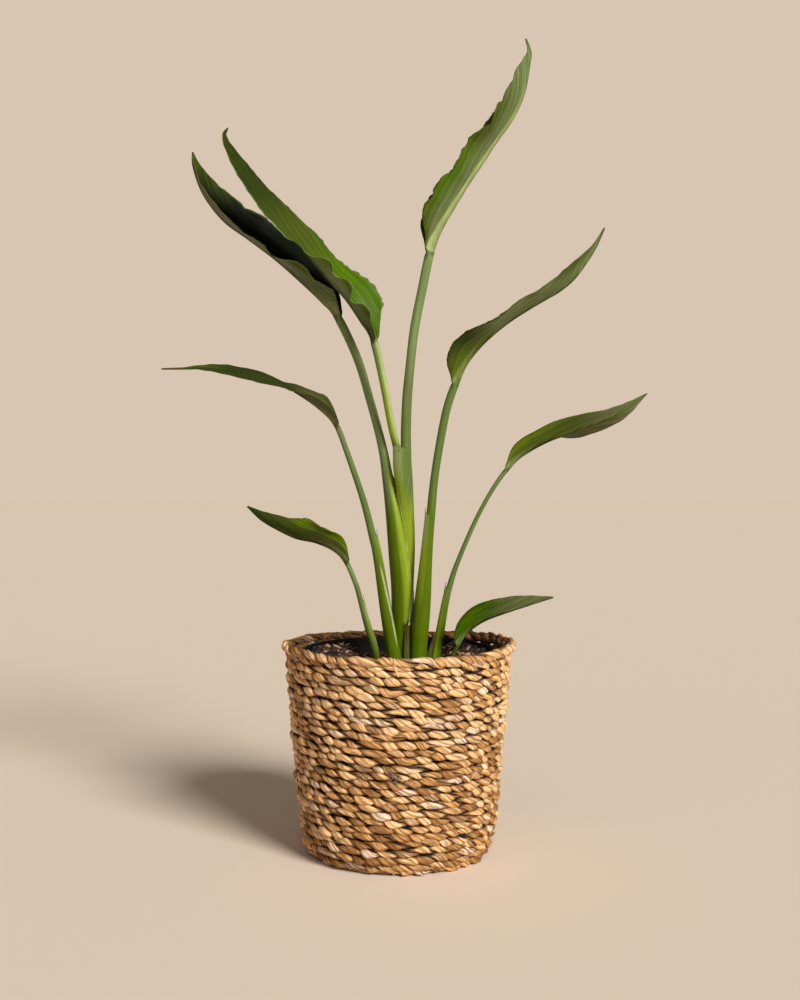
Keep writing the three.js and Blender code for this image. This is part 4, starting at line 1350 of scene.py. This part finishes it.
class PLANT_OT_soil(bpy.types.Operator):
    """Turn the nursery pot and fill it with soil"""
    bl_idname = "plant.soil"
    bl_label = "Fill the pot"

    def execute(self, context):
        settings = context.scene.plant_soil
        low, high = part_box("nursery_pot")
        points, faces = lathe(pot_profile(low, high), 144)
        pot = make_piece("nursery_pot_shell", points, faces, plastic_material(settings))
        self.drill(pot, 5, 28 * MM, 4 * MM, low[2])
        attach(pot, BODY)
        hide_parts("nursery_pot")

        peat, bark = shade(settings.peat), shade(settings.bark)
        soft = grain_material("peat", peat, shade(settings.bark, 0.3), 0.9, 420.0)
        body = grow("soil_body", soil_tree(), {
            "Top radius": 57.3 * MM, "Foot radius": 43 * MM, "Level": 117.6 * MM,
            "Foot height": 7.2 * MM, "Heaps": 8.2 * MM, "Mounds": 2.4 * MM, "Grain": 2.4 * MM,
            "Seed": 0.7, "Material": soft})
        chip = grain_material("bark", bark, (0.46, 0.28, 0.19, 1), 0.85, 700.0)
        bead = grain_material(
            "perlite", (0.62, 0.58, 0.52, 1), (0.85, 0.82, 0.78, 1), 0.8, 900.0)
        root = grain_material("root_fibre", bark, (0.30, 0.19, 0.12, 1), 0.8, 500.0)
        pieces, scatter = [body], scatter_tree()
        for name, number, size, long, thick, patches, seed, material in (
                ("soil_crumbs", settings.crumbs, 1.25, 1.2, 0.8, 0.0, 3, soft),
                ("soil_bark", settings.chips, 1.5, 2.4, 0.35, 0.75, 8, chip),
                ("soil_perlite", settings.beads, 1.1, 1.0, 0.9, 0.0, 21, bead)):
            pieces.append(grow(name, scatter, {
                "Count": float(number), "Size": size * MM, "Length": long, "Thickness": thick,
                "Patches": patches, "Reach": 56 * MM, "Sink": 0.2 * MM, "Seed": seed,
                "Material": material}, body.data))
        pieces.append(grow("soil_fibres", fibre_tree(), {
            "Count": 340.0, "Area": 0.01, "Length": 6.5 * MM, "Thickness": 0.16 * MM, "Lift": 0.3,
            "Bend": 0.3, "Lowest": 110 * MM, "Reach": 48 * MM, "Tufts": 0.0, "Seed": 5,
            "Material": root}, body.data))
        for piece in pieces:
            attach(piece, BODY)
        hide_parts("soil")
        return {"FINISHED"}

    @staticmethod
    def drill(pot, number, middle, radius, height):
        """Cuts the drain holes, in a ring round the middle of the floor."""
        sides, depth = 24, 10 * MM
        points, faces = [], []
        for hole in range(number):
            angle = TURN * hole / number
            x, y = middle * math.cos(angle), middle * math.sin(angle)
            start = len(points)
            wall, _ = lathe([(radius, height - depth), (radius, height + depth)], sides)
            points += [(x + dx, y + dy, z) for dx, dy, z in wall]
            shell = [*ring_faces(2, sides), range(sides - 1, -1, -1), range(sides, 2 * sides)]
            faces += [tuple(start + i for i in face) for face in shell]
        holes = new_object("holes", new_mesh("holes", points, [], faces))
        pot.modifiers.new("cut", "BOOLEAN").object = holes
        settle(pot)
        bpy.data.objects.remove(holes)


# --------------------------------------------------------------------- stage

FLOOR_REACH = 300.0  # from the middle of the floor to its edge, far enough for no edge to show
CAMERA_PLACE = (0.00096, -0.72, 0.223)


def add_sun(name, source, strength, spread, tint):
    """A distant light that shines from source to the middle, soft by its spread in degrees."""
    light = bpy.data.lights.new(name, "SUN")
    light.energy = strength
    light.angle = math.radians(spread)
    light.color = tint
    toward = Vector(source).to_track_quat("Z", "Y")
    new_object(name, light).rotation_euler = toward.to_euler()


class PLANT_OT_stage(bpy.types.Operator):
    """Lay the floor and set up the light and the camera"""
    bl_idname = "plant.stage"
    bl_label = "Set the stage"

    def execute(self, context):
        scene = context.scene
        settings = scene.plant_stage
        backdrop, dim = settings.backdrop, settings.ambient
        world = bpy.data.worlds.new("room")
        world.use_nodes = True
        nodes = Nodes(world.node_tree)
        seen = nodes.add("ShaderNodeLightPath")
        air = nodes.mix(seen, shade(backdrop, dim), shade(backdrop))
        room = nodes.add("ShaderNodeBackground", None, {"Color": air})
        nodes.add("ShaderNodeOutputWorld", None, {"Surface": room})
        scene.world = world
        scene.view_settings.view_transform = "Standard"
        falling = 0.0
        for name, source, strength, spread, tint in (
                ("key", (0.78, -1.02, 0.7), settings.key, 22, (1, 0.985, 0.96)),
                ("fill", (-0.5, -1.6, 0.5), settings.fill, 70, (0.96, 0.985, 1))):
            add_sun(name, source, strength, spread, tint)
            falling += strength * source[2] / Vector(source).length
        # Lit by this light, the floor comes out in the backdrop's own colour.
        own = [channel / (dim * channel + falling / math.pi) for channel in backdrop]
        material, n = new_material("floor")
        finish_material(
            n, {"Base Color": shade(own)}, {"Roughness": 0.95, "Specular IOR Level": 0.0})
        corners = [(x * FLOOR_REACH, y * FLOOR_REACH, 0)
                   for x, y in ((-1, -1), (1, -1), (1, 1), (-1, 1))]
        mesh = new_mesh("floor", corners, [], [(0, 1, 2, 3)])
        mesh.materials.append(material)
        floor = new_object("floor", mesh)
        floor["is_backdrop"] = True
        camera = bpy.data.cameras.new("camera")
        camera.lens = settings.lens
        viewer = new_object("camera", camera)
        viewer.location = CAMERA_PLACE
        viewer.rotation_euler = (math.pi / 2, 0, 0)
        scene.camera = viewer
        return {"FINISHED"}


class PLANT_PT_panel(bpy.types.Panel):
    """Lists the plant's operators"""
    bl_label = "Potted bird of paradise"
    bl_idname = "PLANT_PT_panel"
    bl_space_type = "VIEW_3D"
    bl_region_type = "UI"
    bl_category = "Plant"

    def draw(self, context):
        for operator in OPERATORS:
            self.layout.operator(operator.bl_idname)


SETTINGS = {
    "plant_basket": BasketSettings, "plant_soil": SoilSettings,
    "plant_leaves": LeafSettings, "plant_stage": StageSettings,
}
OPERATORS = (PLANT_OT_stage, PLANT_OT_basket, PLANT_OT_soil, PLANT_OT_leaves)


def register():
    for cls in (*SETTINGS.values(), *OPERATORS, PLANT_PT_panel):
        bpy.utils.register_class(cls)
    for name, cls in SETTINGS.items():
        setattr(bpy.types.Scene, name, bpy.props.PointerProperty(type=cls))


def unregister():
    for name in SETTINGS:
        delattr(bpy.types.Scene, name)
    for cls in (PLANT_PT_panel, *reversed(OPERATORS), *reversed(SETTINGS.values())):
        bpy.utils.unregister_class(cls)


def main():
    register()
    bpy.ops.plant.stage()
    bpy.ops.plant.basket()
    bpy.ops.plant.soil()
    bpy.ops.plant.leaves()
    sizes = [[list(corner) for corner in box] for box in (CAD_BOX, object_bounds())]


if __name__ == "__main__":
    main()
